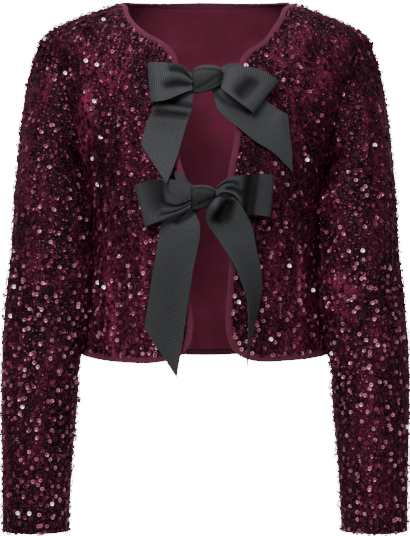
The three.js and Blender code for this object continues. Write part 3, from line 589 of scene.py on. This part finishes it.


# Sleeves
# Each is a velvet panel closed into a tube, its cap sprung from the armhole, its inner side pressed by the
# body. Rows of the tube: height, outer and inner reach, middle and half of its depth. Each sleeve: its side,
# how many millimetres lower its painted shade makes the folds look, darkening the whole sleeve, and folds
# as the body's, by turn.
SLEEVE_TUBE = np.array([
    (-656, 248.5, 167, -46, 42),
    (-638, 248.8, 166.5, -45, 43),
    (-564, 249.7, 162.7, -40, 46),
    (-505, 251.2, 157.5, -35, 49),
    (-460, 251, 154, -31, 51),
    (-420, 250, 142, -27, 52),
    (-372, 247, 132, -22, 54),
    (-312, 240.5, 130, -16, 56),
    (-250, 237, 131, -10, 57),
])
CAP_END, CUFF = -250, -654
BODY_GAP, BODY_END = 4, -470
SLEEVE_MM_A_DEGREE = 0.85
SLEEVE_COLUMNS, CAP_ROWS, TUBE_ROWS = 100, 56, 112
SLEEVES = {
    "left": (1, 0.8, [
        (150, -338, 95, -362, 4, 9),
        (150, -372, 105, -392, 3, 8),
        (40, -130, 62, -300, 3, 13),
        (100, -440, 88, -620, 3, 12),
        (20, -420, 30, -600, 2.5, 12),
        (230, -320, 290, -350, 3.5, 10),
        (285, -120, 265, -300, 3, 13),
        (240, -460, 262, -630, 3, 12),
        (60, -110, 80, -230, 1.6, 5),
        (120, -250, 96, -330, 1.6, 5),
        (140, -400, 98, -424, 1.4, 4.5),
        (70, -330, 76, -460, 1.3, 5),
        (116, -500, 104, -600, 1.5, 5),
        (60, -480, 70, -630, 1.3, 5),
        (10, -200, 18, -360, 1.3, 6),
        (250, -200, 246, -300, 1.5, 6),
        (160, -208, 152, -262, 7, 9),
    ]),
    "right": (-1, 1.8, [
        (48, -90, 52, -250, 3.5, 12),
        (76, -250, 70, -350, 3, 12),
        (145, -330, 96, -352, 3, 9),
        (104, -430, 92, -560, 3, 12),
        (34, -390, 42, -610, 2.5, 12),
        (232, -330, 288, -352, 3.5, 10),
        (290, -130, 268, -300, 3, 13),
        (246, -450, 258, -620, 3, 12),
        (36, -110, 34, -300, 1.5, 5),
        (53, -88, 77, -232, 2.4, 5),
        (126, -270, 100, -316, 1.5, 5),
        (140, -372, 104, -392, 1.4, 5),
        (60, -400, 66, -560, 1.3, 5),
        (120, -480, 108, -610, 1.4, 5),
        (14, -230, 20, -380, 1.3, 6),
        (254, -210, 250, -310, 1.5, 6),
        (160, -208, 152, -262, 7, 9),
    ]),
}


def seat(side, turn):
    """Angle and height round the armhole of the wearer's left side (1) or right side (-1)."""
    return np.moveaxis(armhole(turn) * (side, 1), -1, 0)


def sleeve_tube(side, turn, height):
    """Oval of the sleeve. Its inner side keeps 4 mm off the body by (a + b + hypot(a - b, 4)) / 2, with a
    the oval's reach and b the body's reach + 4."""
    outer, inner, middle, half_depth = (column(SLEEVE_TUBE, k, height) for k in (1, 2, 3, 4))
    y = middle - half_depth * np.sin(np.radians(turn))
    free = (outer + inner) / 2 + np.cos(np.radians(turn)) * (outer - inner) / 2
    deep = np.where(y < 0, column(TORSO, 2, height), column(TORSO, 3, height))
    reach = column(TORSO, 1, height) * oval_reach(np.abs(y) / deep) + BODY_GAP
    pressed = np.where(height > BODY_END, reach, 0)
    x = (free + pressed + np.hypot(free - pressed, BODY_GAP)) / 2
    return np.stack([side * x, y, height], axis=-1)


def sleeve_form(side, turn, step):
    """A cubic from the armhole (step 0) to the tube's top (1), then the tube to the cuff (2). It leaves the
    armhole 20 degrees off the body at the shoulder and 65 degrees off it at the underarm."""
    turn, step = np.broadcast_arrays(turn, step)
    ahead, middle, behind = (seat(side, turn + d) for d in (2, 0, -2))
    start = body_cloth(*middle, 0)
    off = body_normal(*middle)
    into = unit(np.cross(off, body_cloth(*ahead, 0) - body_cloth(*behind, 0))) * side
    drop = (1 - np.cos(np.radians(turn))) / 2
    flare = np.radians(20 + 45 * drop)[..., None]
    leaving = into * np.cos(flare) + off * np.sin(flare)
    leaving[..., 2] -= 0.8 * np.abs(np.sin(np.radians(turn))) * (1 - drop)
    end = sleeve_tube(side, turn, np.full(turn.shape, float(CAP_END)))
    arriving = sleeve_tube(side, turn, np.full(turn.shape, CAP_END - 5.0)) - end
    pace = 0.85 * np.linalg.norm(end - start, axis=-1, keepdims=True)
    cap = cubic(start, unit(leaving) * pace, end, unit(arriving) * pace, np.minimum(step, 1)[..., None])
    tube = sleeve_tube(side, turn, CAP_END + (CUFF - CAP_END) * np.maximum(step - 1, 0))
    return np.where((step < 1)[..., None], cap, tube)


def sleeve_layers(side, folds, depths):
    """Layers: surface + normal * (folds - depth). The normal starts as the body's at the armhole."""
    turn = np.linspace(0, 360, SLEEVE_COLUMNS + 1)[:-1][None, :]
    steps = [np.linspace(0, 1, CAP_ROWS + 1)[:-1], np.linspace(1, 2, TUBE_ROWS + 1)]
    step = np.concatenate(steps)[:, None]
    surface = sleeve_form(side, turn, step)
    around = sleeve_form(side, turn + 1, step) - sleeve_form(side, turn - 1, step)
    down = (sleeve_form(side, turn, np.minimum(step + 0.01, 2))
            - sleeve_form(side, turn, np.maximum(step - 0.01, 0)))
    normal = unit(np.cross(around, down)) * side
    away = np.clip(step / 0.08, 0, 1)[..., None]
    normal = unit(body_normal(*seat(side, turn + 0 * step)) * (1 - away) + normal * away)
    near = np.clip(step / 0.2, 0, 1)
    rise = fold_height(folds, turn, surface[..., 2], SLEEVE_MM_A_DEGREE) * near**2 * (3 - 2 * near)
    layers = [surface + normal * (rise - depth)[..., None] for depth in depths]
    for layer in layers:
        layer[0] += SEAM_GAP * unit(layer[1] - layer[0])
    return layers, rise


for name, (side, painted_sleeve_shade, folds) in SLEEVES.items():
    layers, rise = sleeve_layers(side, np.array(folds), (0, VELVET))
    faces[f"sleeve_{name}"] = layers[0]
    sleeve = cloth_wall(f"velvet_sleeve_{name}", *layers, [velvet, lining], around=True)
    # Painted shade: each sleeve's velvet is painted darker all over, as if its folds stood that much lower.
    store_shading_height(sleeve, rise - painted_sleeve_shade)
    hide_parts(f"sleeve_{name}")
    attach(sleeve, "root")


# Sequins
# Cupped plastic discs 5 mm wide, each sewn on through the hole in its middle, so that it stands at its own
# tilt. One joined mesh for each velvet piece, whose UV is the share of the way to the rim, and the sequin's
# tone with its painted highlight.
SEQUIN_SIDES = 12
SEQUIN_CELL = 7.4
HOLE, RIM, CUP_DEPTH = 0.6, 2.5, 0.6
USUAL_TILT, LOOSE_TILT, LOOSE_SHARE = 15, 45, 0.06
FLASH_SHARE = 0.006
TOWARDS_CAMERA = np.array([0.05, -1, 0.12])


def sequin_plastic():
    """Shiny wine plastic, each sequin its own tone from dark wine to near white; the pale end is a painted
    highlight for sequins catching the lamps. Paler towards the rim, a painted reflection of the cup.
    """
    made, shade, node, ramp = new_material("sequin_plastic", **{
        "Metallic": 0.4, "Roughness": 0.27, "Specular IOR Level": 0.35, "Specular Tint": (1, 0.45, 0.6, 1)})
    split_uv = node("SeparateXYZ", {0: node("TexCoord", {})["UV"]})
    # Dark wine tones at random; the pale and white end of the ramp is painted highlight.
    tone = ramp(split_uv[1], (0.0, (0.012, 0.0015, 0.005)), (0.6, (0.05, 0.005, 0.018)),
                (0.8, (0.19, 0.034, 0.066)), (0.93, (0.58, 0.25, 0.32)), (1.0, (1, 0.96, 0.97)))
    # Painted reflection: each cup is paler from its hole out to the rim.
    rim = ramp(split_uv[0], (0.0, (0.3, 0.24, 0.27)), (0.4, (1, 1, 1)))
    shade({"Base Color": node("Mix", {0: 1.0, 6: tone, 7: rim}, data_type="RGBA", blend_type="MULTIPLY")[2]})
    return made


def scattered(face, around, rng):
    """Places on a face, spread evenly: many at random by area, then one for each cell of space."""
    shown = wrapped(face) if around else face
    low, high = shown[:-1], shown[1:]
    corners = (low[:, :-1], low[:, 1:], high[:, :-1], high[:, 1:])
    corner, across, up, far = (points.reshape(-1, 3) for points in corners)
    normal = np.cross(far - corner, up - across)
    area = np.linalg.norm(normal, axis=1) / 2
    picked = rng.choice(len(area), int(area.sum() / 3), p=area / area.sum())
    u, v = rng.random((2, len(picked), 1))
    point = (corner[picked] * (1 - u) * (1 - v) + across[picked] * u * (1 - v)
             + up[picked] * (1 - u) * v + far[picked] * u * v)
    kept = np.unique(np.floor(point / SEQUIN_CELL).astype(int), axis=0, return_index=True)[1]
    return point[kept], unit(normal[picked[kept]])


def sequin_mesh(name, point, normal, rng, material):
    """Cups at points: ring point = middle + radius * (cos, sin) in the tilted plane + height * its axis. A
    few face the camera and flash, and are painted white all over as a painted highlight. Paler ones are
    lower, painted light that grows downwards: tone and highlight = (0.86 + 0.07 low) * random^(1.35 - 0.8
    low), low being the share of the way down."""
    count = len(point)
    side = unit(np.cross(normal, rng.normal(size=(count, 3))))
    tilt = np.abs(rng.normal(0, USUAL_TILT, count))
    tilt = np.radians(np.clip(tilt + LOOSE_TILT * (rng.random(count) > 1 - LOOSE_SHARE), 0, 80))
    flash = (rng.random(count) < FLASH_SHARE) & (normal[:, 1] < -0.5)
    axis = normal * np.cos(tilt)[:, None] + side * np.sin(tilt)[:, None]
    axis = np.where(flash[:, None], unit(TOWARDS_CAMERA + rng.normal(0, 0.03, (count, 3))), axis)
    first = unit(np.cross(axis, (0.31, 0.52, 0.8)))
    second = np.cross(axis, first)
    middle = point + normal * (0.5 + 1.8 * np.sin(tilt))[:, None]
    turn = np.linspace(0, 2 * np.pi, SEQUIN_SIDES, endpoint=False)[None, :, None]
    rings = [middle[:, None] + radius * (first[:, None] * np.cos(turn) + second[:, None] * np.sin(turn))
             + height * axis[:, None] for radius, height in ((HOLE, 0), (RIM, CUP_DEPTH))]
    points = np.concatenate(rings, axis=1).reshape(-1, 3)
    k = np.arange(SEQUIN_SIDES)
    after = (k + 1) % SEQUIN_SIDES
    one = np.stack([k, k + SEQUIN_SIDES, after + SEQUIN_SIDES, after], axis=1)
    quads = (one[None] + 2 * SEQUIN_SIDES * np.arange(count)[:, None, None]).reshape(-1, 4)
    # Painted light: sequins get paler towards the bottom.
    low = np.clip((-100 - point[:, 2]) / 300, 0, 1)
    tone_and_highlight = np.where(flash, 1.0, (0.86 + 0.07 * low) * rng.random(count) ** (1.35 - 0.8 * low))
    uv = np.zeros((count, SEQUIN_SIDES, 4, 2))
    # Flashing sequins are painted pale from the hole out too, a painted highlight.
    uv[..., 0] = 0.4 * flash[:, None, None]
    uv[..., 1:3, 0] = 1
    uv[..., 1] = tone_and_highlight[:, None, None]
    return new_mesh(name, points, quads, uv, [material])


plastic = sequin_plastic()
for seed, (name, face) in enumerate(faces.items()):
    rng = np.random.default_rng(seed)
    point, normal = scattered(face, name.startswith("sleeve"), rng)
    middle = face.mean(axis=(0, 1))
    if np.sum(normal * (point - middle)) < 0:
        normal = -normal
    made = sequin_mesh(f"sequins_{name}", point, normal, rng, plastic)
    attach(made, "root")


# Bindings
# Jersey strips folded over the raw edges and stitched down: one round each front, one along the back neck
# and one along the back hem. A stitch is a bar 2.6 mm long, thinner at both its ends.
BINDING_HALF_WIDTH = 4.1
STITCH_LINE = 6.4
STITCH_LIFTS = 0.85, -2.65
STITCH_STEP = 3.6
STITCH_PLACES = np.array((-1.3, -0.6, 0.6, 1.3))
STITCH_THICKNESS = np.array((0.1, 0.3, 0.3, 0.1))
binding_jersey = jersey("jersey_binding", (0.064, 0.0072, 0.021), (0.108, 0.0155, 0.039))


def loft_quads(rows, columns):
    """Quads round a tube's sections, and strips of quads across its two flat ends."""
    index = np.arange(rows * columns).reshape(rows, columns)
    k = np.arange(columns // 2 - 1)
    cap = np.stack([k, k + 1, columns - 2 - k, columns - 1 - k], axis=1)
    return np.concatenate([grid_quads(wrapped(index)), cap[:, ::-1], cap + index[-1, 0]])


def closed_loft(name, sections, materials):
    """Tube through closed sections, with flat ends."""
    quads = loft_quads(*sections.shape[:2])
    uv = walked_uv(wrapped(sections))
    uv = np.concatenate([uv, np.zeros((len(quads) - len(uv), 4, 2))])
    points = sections.reshape(-1, 3)
    return new_mesh(name, points, *facing_out(points, quads, uv), materials)


def binding_sections(line, sign, near):
    """Rounded flat section over the edge: inset = 4.1 - 4.1 c, lift = -0.9 + 1.7 s, with c and s the signed
    roots of |cos| and |sin|."""
    turn = np.linspace(0, 2 * np.pi, 24, endpoint=False)
    c, s = (np.sign(f(turn)) * np.sqrt(np.abs(f(turn))) for f in (np.cos, np.sin))
    insets = BINDING_HALF_WIDTH - BINDING_HALF_WIDTH * c
    rims = [body_cloth(*inset(line, sign * a, near).T, -0.9 + 1.7 * b) for a, b in zip(insets, s)]
    sections = np.stack(rims, axis=1)
    sections[0] += SEAM_GAP * unit(sections[1] - sections[0])
    sections[-1] += SEAM_GAP * unit(sections[-2] - sections[-1])
    return sections


def stitch_mesh(name, rows, material):
    """Stitches, one each 3.6 mm of every row's path, as square bars: corner = middle +- thickness * (normal
    or sideways)."""
    thick = STITCH_THICKNESS[None, :, None]
    bars = []
    for path, normal in rows:
        reached = walked(path)
        count = int(reached[-1] / STITCH_STEP)
        at = (np.arange(count)[:, None] + 0.5) * STITCH_STEP + STITCH_PLACES
        middle, up = (np.stack([np.interp(at, reached, grid[:, k]) for k in range(3)], axis=-1)
                      for grid in (path, normal))
        side = unit(np.cross(up, middle[:, 3:] - middle[:, :1]))
        bars.append(np.stack([middle + thick * way for way in (up, side, -up, -side)], axis=2))
    corners = np.concatenate(bars)
    one = loft_quads(4, 4)[:, ::-1]
    quads = (one[None] + 16 * np.arange(len(corners))[:, None, None]).reshape(-1, 4)
    points = corners.reshape(-1, 3)
    return new_mesh(name, points, *facing_out(points, quads, np.zeros((len(quads), 4, 2))), [material])


thread = new_material("sewing_thread", **{
    "Base Color": (0.03, 0.004, 0.011, 1), "Roughness": 0.55, "Specular IOR Level": 0.4})[0]
binding_lines = {
    "front_left": (outlines["left"][0], -1, 0, 0.65),
    "front_right": (outlines["right"][0], 1, 0, 0.65),
    "back_neck": (back_neck_line(), -1, 180, 0.205),
    "back_hem": (back_hem_line(), 1, 180, 0.39),
}
for name, (line, sign, near, length) in binding_lines.items():
    made = closed_loft(f"jersey_binding_{name}", binding_sections(line, sign, near), [binding_jersey])
    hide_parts(f"binding_{name}")
    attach(made, "root")
    sewn = inset(line, sign * STITCH_LINE, near).T
    rows = [(body_cloth(*sewn, lift), body_normal(*sewn)) for lift in STITCH_LIFTS]
    stitches = stitch_mesh(f"stitches_{name}", rows, thread)
    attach(stitches, "root")


# Ribbons
# Two pairs of 50 mm grosgrain ribbons tied in bows: loops, tails, and ties sewn under the bindings. Rows of
# a run: one edge's x, height and lift off the body, the other edge's, and the middle's crown. Its pleats:
# row and share across where each starts and ends, how far it stands out, and its half width. A pleat that
# sinks is also painted darker: painted shade, and beneath the loops painted shadow.
RIBBON = 0.9
RIBBON_WIDTH, TIE_WIDTH = 50, 30
STATION_ROWS, RIBBON_COLUMNS = 10, 20
RIBBON_RUNS = {
    "upper_bow_loop_right": ([
        (-15.1, -103, 12, -15.1, -119, 11, 0),
        (-26, -90, 17, -30, -125, 16, -2),
        (-42, -86.5, 20, -45, -131.5, 19, 1),
        (-60, -85.5, 18, -57, -133.5, 18, 1),
        (-66.5, -85.6, 15.5, -62.3, -133.5, 15.5, 0),
        (-69, -86, 12, -64.5, -133.5, 12, 0),
        (-66, -86.6, 9.2, -62, -133, 9.2, 0),
        (-60, -87, 8, -56, -129.5, 8, 0),
        (-42, -89, 8, -42, -120, 8, 0),
        (-16, -101, 8, -16, -117, 8, 0),
    ], [
        (0.3, 0.2, 1.7, 0.15, -4, 5),
        (0.1, 0.62, 2, 0.58, -4.5, 6),
        (0.1, 0.42, 1.9, 0.38, 1.6, 4),
    ]),
    "upper_bow_loop_left": ([
        (24, -96, 10.5, 20.5, -112, 10.5, 0),
        (27.5, -93, 15, 19.5, -117, 17, 0),
        (35, -91.5, 19, 27, -124.5, 21, 0),
        (55, -92, 22, 41, -135.5, 23, -3),
        (74, -98, 21, 51, -142.5, 21, -1),
        (84.5, -104.5, 17.6, 56, -146.5, 17.6, 0),
        (88, -108, 13.5, 57, -147.5, 13.5, 0),
        (85.5, -107, 10.6, 55.4, -145.5, 10.6, 0),
        (78, -104, 9.5, 51, -140, 10, 0),
        (55, -99, 9.5, 38, -127, 10.5, 0),
        (24, -97, 8.6, 21, -111, 9, 0),
    ], [
        (3.4, 0.38, 3.0, 0.72, -5, 7),
    ]),
    "lower_bow_loop_right": ([
        (-16.7, -245.5, 12, -16.7, -259, 12, 0),
        (-24, -249.5, 17, -33, -267.5, 15, 0),
        (-33, -250, 21, -43, -271.5, 18, 0),
        (-42, -244.5, 24, -54, -276, 19, 0),
        (-49, -234.5, 23, -60, -278.5, 20, 0),
        (-57, -227, 20, -65, -280.5, 19, 0),
        (-76, -230.5, 17, -68, -281.8, 17, 0),
        (-82, -232.6, 15.2, -70.4, -282.4, 15.2, 0),
        (-83.5, -233.5, 12.3, -71, -282.5, 12.3, 0),
        (-80.5, -232.5, 9.3, -70, -281.8, 9.3, 0),
        (-72, -229, 8, -66, -280, 8, 0),
        (-50, -226, 7.4, -50, -276, 7.4, 0),
        (-32, -228, 7.4, -34, -270.5, 7.4, 0),
        (-17, -234, 8, -17, -262, 8, 0),
    ], [
        (0.2, 0.5, 3.6, 0.4, -4, 5),
        (0.2, 0.8, 3, 0.78, -2.5, 4),
        (4.9, -0.1, 4.4, 0.5, -5, 11),
    ]),
    "lower_bow_loop_left": ([
        (13, -236, 12, 13, -246, 12, 0),
        (24, -227, 17, 22, -242, 16, 0),
        (34, -224, 19, 33, -244.5, 17, 0),
        (44, -222.5, 19, 44, -258, 17, 0),
        (55, -221, 18, 50, -268, 17, 0),
        (66, -220.5, 20, 60, -269, 19, 1),
        (76, -220.5, 18, 72, -270.5, 18, 0),
        (80.8, -221.4, 15.8, 76.2, -271, 15.8, 0),
        (82.5, -222, 12.4, 77.5, -271.3, 12.4, 0),
        (79.6, -222, 9.2, 75, -270.4, 9.2, 0),
        (72, -222, 8, 68, -268, 8, 0),
        (48, -224, 7.4, 46, -262, 7.4, 0),
        (24, -231, 7.4, 26, -252, 7.4, 0),
        (13.5, -238, 8, 13.5, -250, 8, 0),
    ], [
        (0.2, 0.3, 2.4, 0.35, -3, 5),
        (1.6, 0.75, 2.9, 0.6, -4, 6),
        (4.3, 0, 4.1, 1, -7.2, 10),
    ]),
    "upper_bow_tail_right": ([
        (-14, -114, 4.7, -3, -111, 4.7, 0),
        (-33, -121, 4.5, -14, -126, 6, 0),
        (-52, -129, 5, -15, -137, 9, 2),
        (-62.5, -140, 5.5, -17, -147, 9, 5),
        (-67, -152, 5.5, -20.5, -156, 8, 3),
        (-71, -163, 5, -25, -172, 6, 0),
        (-73.5, -172, 5, -31, -193, 5, 0),
        (-75.5, -179, 5, -38, -214, 8, 0),
        (-76.7, -184, 5, -45.8, -232, 13, 0),
    ], [
        (0.3, 0.4, 1.6, 0.3, -2, 5),
        (2.0, 0.05, 2.1, 0.95, -4, 6),
        (3.4, 0.15, 3.5, 0.85, -4.5, 7),
    ]),
    "upper_bow_tail_left": ([
        (14, -109, 4.7, 5, -117, 4.7, 0),
        (36, -114, 4.8, 10.5, -124, 6, 0),
        (55, -121, 5.5, 12, -134, 8.5, 0),
        (68, -128, 5.5, 17, -145, 8.5, 1),
        (76, -133.5, 5.5, 27, -155, 7, 0),
        (85, -139.5, 5.5, 42, -166.5, 6, 0),
        (92, -144, 5.5, 60, -181, 6, 0),
        (97, -147, 5.5, 80, -193, 6.5, 0),
        (99.8, -148.6, 6, 105.5, -216.7, 8, 0),
    ], [
        (0.3, 0.35, 2.4, 0.4, -2, 5),
        (1.2, 0.85, 4, 0.45, -2.6, 6),
        (6.4, 0.2, 8, 0.6, 2, 9),
    ]),
    "lower_bow_tail_right": ([
        (-15, -253.5, 4.7, -3, -251.5, 4.7, 0),
        (-34, -264, 4.5, -10, -268, 6, 0),
        (-50, -276, 5, -6.2, -280, 9, 3),
        (-54, -288, 5, -6, -292.5, 9, 4),
        (-57, -305, 5, -9, -310.5, 7, 3),
        (-60.5, -326, 5, -14, -334, 6, 0),
        (-64.5, -349, 5, -18.7, -363, 5.5, 0),
        (-68, -371.5, 5, -23.5, -396, 5.5, 0),
        (-70.5, -388, 5.5, -28, -428, 6, 0),
        (-72.8, -404.5, 6, -34, -463.3, 8, 0),
    ], [
        (0.3, 0.4, 1.8, 0.3, -2.6, 7),
        (0.6, 0.9, 2.1, 0.4, -2.6, 6),
        (6, 0.5, 9.4, 0.5, -1.4, 32),
    ]),
    "lower_bow_tail_left": ([
        (13.2, -249, 13, 33, -247, 13, 0),
        (6, -257, 21, 40, -254, 19, -3),
        (1.5, -268, 24, 47, -265, 19, -4),
        (3, -280, 21, 53, -276, 16, -3),
        (9, -289, 15, 58, -290, 13, -2),
        (22, -308, 13, 62, -312, 9, 2),
        (34, -327, 18, 67, -334, 7, 2),
        (44, -351, 27, 68.5, -358, 6, 0),
        (50.5, -374, 37, 65, -378, 6, 0),
        (51.5, -395, 44, 61, -396, 6, 0),
        (49.6, -451, 46, 60, -400, 8, 0),
    ], [
        (0, 0.25, 1.3, 0.25, 2, 4),
        (0.6, 0.68, 2.65, 0.36, -11, 9.5),
        (6, 0.5, 10, 0.5, -1, 26),
    ]),
    "upper_bow_tie_right": ([
        (-40, -90, 1.9, -40, -122, 1.9, 0),
        (-20, -96, 2.2, -20, -116, 2.2, 0),
        (-1, -100, 3, -1, -113, 3, 0),
    ], []),
    "upper_bow_tie_left": ([
        (44, -86, 1.9, 44, -118, 1.9, 0),
        (34, -85, 2.6, 30, -112, 2.4, 0),
        (20, -90, 2.8, 18, -111, 2.8, 0),
        (1, -99, 3, 1, -112, 3, 0),
    ], []),
    "lower_bow_tie_right": ([
        (-36, -216, 1.9, -36, -250, 1.9, 0),
        (-26, -222, 2.4, -26, -252, 2.4, 0),
        (-16, -232, 2.8, -16, -256, 2.8, 0),
        (-1, -236, 3, -1, -254, 3, 0),
    ], []),
    "lower_bow_tie_left": ([
        (34, -232, 1.9, 34, -262, 1.9, 0),
        (20, -236, 2.2, 20, -258, 2.2, 0),
        (1, -240, 3, 1, -254, 3, 0),
    ], []),
}


def grosgrain():
    """Ribbed ribbon: ribs across it 2.6 mm apart on the UV, fine warp between, soft satin light. Its colour
    is painted darker in the hollows of its pleats and knots, a painted shade that stands for shadows under
    the
    loops too: depth = (the shading height + 7) / 8."""
    made, shade, node, ramp = new_material("grosgrain_ribbon", **{
        "Roughness": 0.5, "Specular IOR Level": 0.1, "Sheen Weight": 0.03, "Sheen Roughness": 0.4,
        "Sheen Tint": (0.8, 0.9, 0.92, 1)})
    flat = node("TexCoord", {})["UV"]
    ribs = node("TexWave", {"Vector": flat, "Scale": 121}, bands_direction="Y")[1]
    warp = node("TexWave", {"Vector": flat, "Scale": 620, "Distortion": 0.3}, bands_direction="X")[1]
    weave = node("Math", {0: warp, 1: 0.25, 2: ribs}, operation="MULTIPLY_ADD")[0]
    colour = ramp(weave, (0.0, (0.0178, 0.0188, 0.021)), (1.0, (0.051, 0.053, 0.058)))
    shading_height = node("Attribute", {}, attribute_name="shading_height")["Fac"]
    depth = node("MapRange", {"Value": shading_height, "From Min": -7, "From Max": 1})[0]
    # Painted shade: darker where pleats and creases sink, on the knots' undersides, and under the loops.
    painted_hollow_shade = ramp(depth, (0.0, (0.09, 0.09, 0.09)), (0.5, (0.36, 0.36, 0.36)), (0.875, (1, 1, 1)))
    shown = node("Mix", {0: 1.0, 6: colour, 7: painted_hollow_shade}, data_type="RGBA", blend_type="MULTIPLY")[2]
    ribbed = node("Bump", {"Height": weave, "Strength": 0.55, "Distance": 0.0004})[0]
    shade({"Base Color": shown, "Normal": ribbed})
    return made


def off_body(x, height, lift):
    """Point of the front view, lifted off the body: y = -depth - lift."""
    return np.stack([x, -front_depth(x, height) - lift, height], axis=-1)


def grid_normal(grid):
    """Direction off a grid: slope down its columns x slope along its rows."""
    return unit(np.cross(np.gradient(grid, axis=0), np.gradient(grid, axis=1)))


def ribbon_layers(rows, pleats):
    """Grid between the run's two edges: edge A (1 - u) + edge B u - 4 crown u (1 - u) forward, plus its
    pleats along the normal. Gives two layers, half the ribbon's thickness either side, and the pleats'
    height."""
    steps = STATION_ROWS * (len(rows) - 1)
    at = np.linspace(0, len(rows) - 1, steps + 1)
    a, b = (through(off_body(*rows[:, k:k + 3].T), at)[:, None] for k in (0, 3))
    u = np.linspace(0, 1, RIBBON_COLUMNS + 1)[None, :, None]
    crown = smooth(at, np.arange(len(rows)), rows[:, 6])[:, None, None]
    grid = a * (1 - u) + b * u - 4 * crown * u * (1 - u) * np.array((0, 1, 0))
    length = walked(grid[:, RIBBON_COLUMNS // 2])[-1] / (len(rows) - 1)
    folds = [(start_u, start * length, end_u, end * length, rise, wide)
             for start, start_u, end, end_u, rise, wide in pleats]
    normal = grid_normal(grid)
    if np.sum(normal[: steps // 3, :, 1]) > 0:
        normal = -normal
    rise = fold_height(folds, u[..., 0], at[:, None] * length, RIBBON_WIDTH)
    grid = grid + normal * rise[..., None]
    normal = grid_normal(grid)
    return grid + normal * RIBBON / 2, grid - normal * RIBBON / 2, rise


ribbon = grosgrain()
for name, (rows, pleats) in RIBBON_RUNS.items():
    *layers, rise = ribbon_layers(np.array(rows), pleats)
    made = cloth_wall(f"ribbon_{name}", *layers, [ribbon])
    store_shading_height(made, rise)
    length = walked(layers[0][:, RIBBON_COLUMNS // 2])[-1] * 0.001
    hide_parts(name)
    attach(made, "root")
    width = 0.001 * (TIE_WIDTH if "tie" in name else RIBBON_WIDTH)


# Knots
# The turn of ribbon drawn tight round the middle of each bow. Rows: x, top, bottom, lift behind and before.
# Rows of its creases: depth, turn at x = 0, turn gained each millimetre along, and half width.
KNOT_SECTIONS = 40
KNOT_CREASES = [(1.4, 52, 0.6, 8), (1.1, 112, -1.6, 9)]
KNOTS = {
    "upper_bow_knot": [
        (-15.5, -99, -120, 6.2, 13),
        (-13, -93, -123, 5.8, 15.6),
        (-4, -89, -122.5, 5.8, 17),
        (8, -88.5, -119, 5.8, 17),
        (17, -90.5, -114, 5.8, 16),
        (20.5, -94, -111, 6.2, 13.5),
    ],
    "lower_bow_knot": [
        (-16.5, -240, -261, 6.2, 13),
        (-14, -235, -263.5, 5.8, 15.5),
        (-4, -233.5, -262, 5.8, 16.5),
        (6, -235, -259.5, 5.8, 16.5),
        (11, -238, -256, 5.8, 15),
        (13, -240, -254, 6.2, 13),
    ],
}


def knot_layers(rows):
    """Sections along x: height = middle + r(cos) * half height, lift = middle + r(sin) * half depth, with r
    the signed power 0.85. A crease is depth * exp(-(turn from it / half width)^2), and the front slopes back
    by 5 r(sin) (1 - r(cos)). Gives two layers and the shading height -creases - 2.1 (1 - r(cos)): painted
    shade in the creases and on the knot's underside."""
    x = np.linspace(rows[0, 0], rows[-1, 0], KNOT_SECTIONS + 1)[:, None]
    top, bottom, behind, before = (column(rows, k, x) for k in (1, 2, 3, 4))
    turn = np.linspace(0, 360, 73)[:-1][None, :]
    c, s = (np.sign(f(np.radians(turn))) * np.abs(f(np.radians(turn))) ** 0.85 for f in (np.cos, np.sin))
    crease = sum(deep * np.exp(-((turn - start - lean * x) / wide) ** 2)
                 for deep, start, lean, wide in KNOT_CREASES)
    height = (top + bottom) / 2 + c * (top - bottom) / 2
    lift = (behind + before) / 2 + s * (before - behind) / 2 - crease - 5 * np.maximum(s, 0) * (1 - c)
    x = np.broadcast_to(x, height.shape)
    inner = off_body(x, height - c * RIBBON, lift - s * RIBBON)
    # The shading height paints shade into the creases and onto the knot's underside.
    return off_body(x, height, lift), inner, -crease - 2.1 * (1 - c)


for name, rows in KNOTS.items():
    *layers, rise = knot_layers(np.array(rows))
    made = cloth_wall(f"ribbon_{name}", *layers, [ribbon], around=True)
    store_shading_height(made, rise)
    turn = walked(layers[0][KNOT_SECTIONS // 2])[-1] * 0.001
    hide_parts(name)
    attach(made, "root")
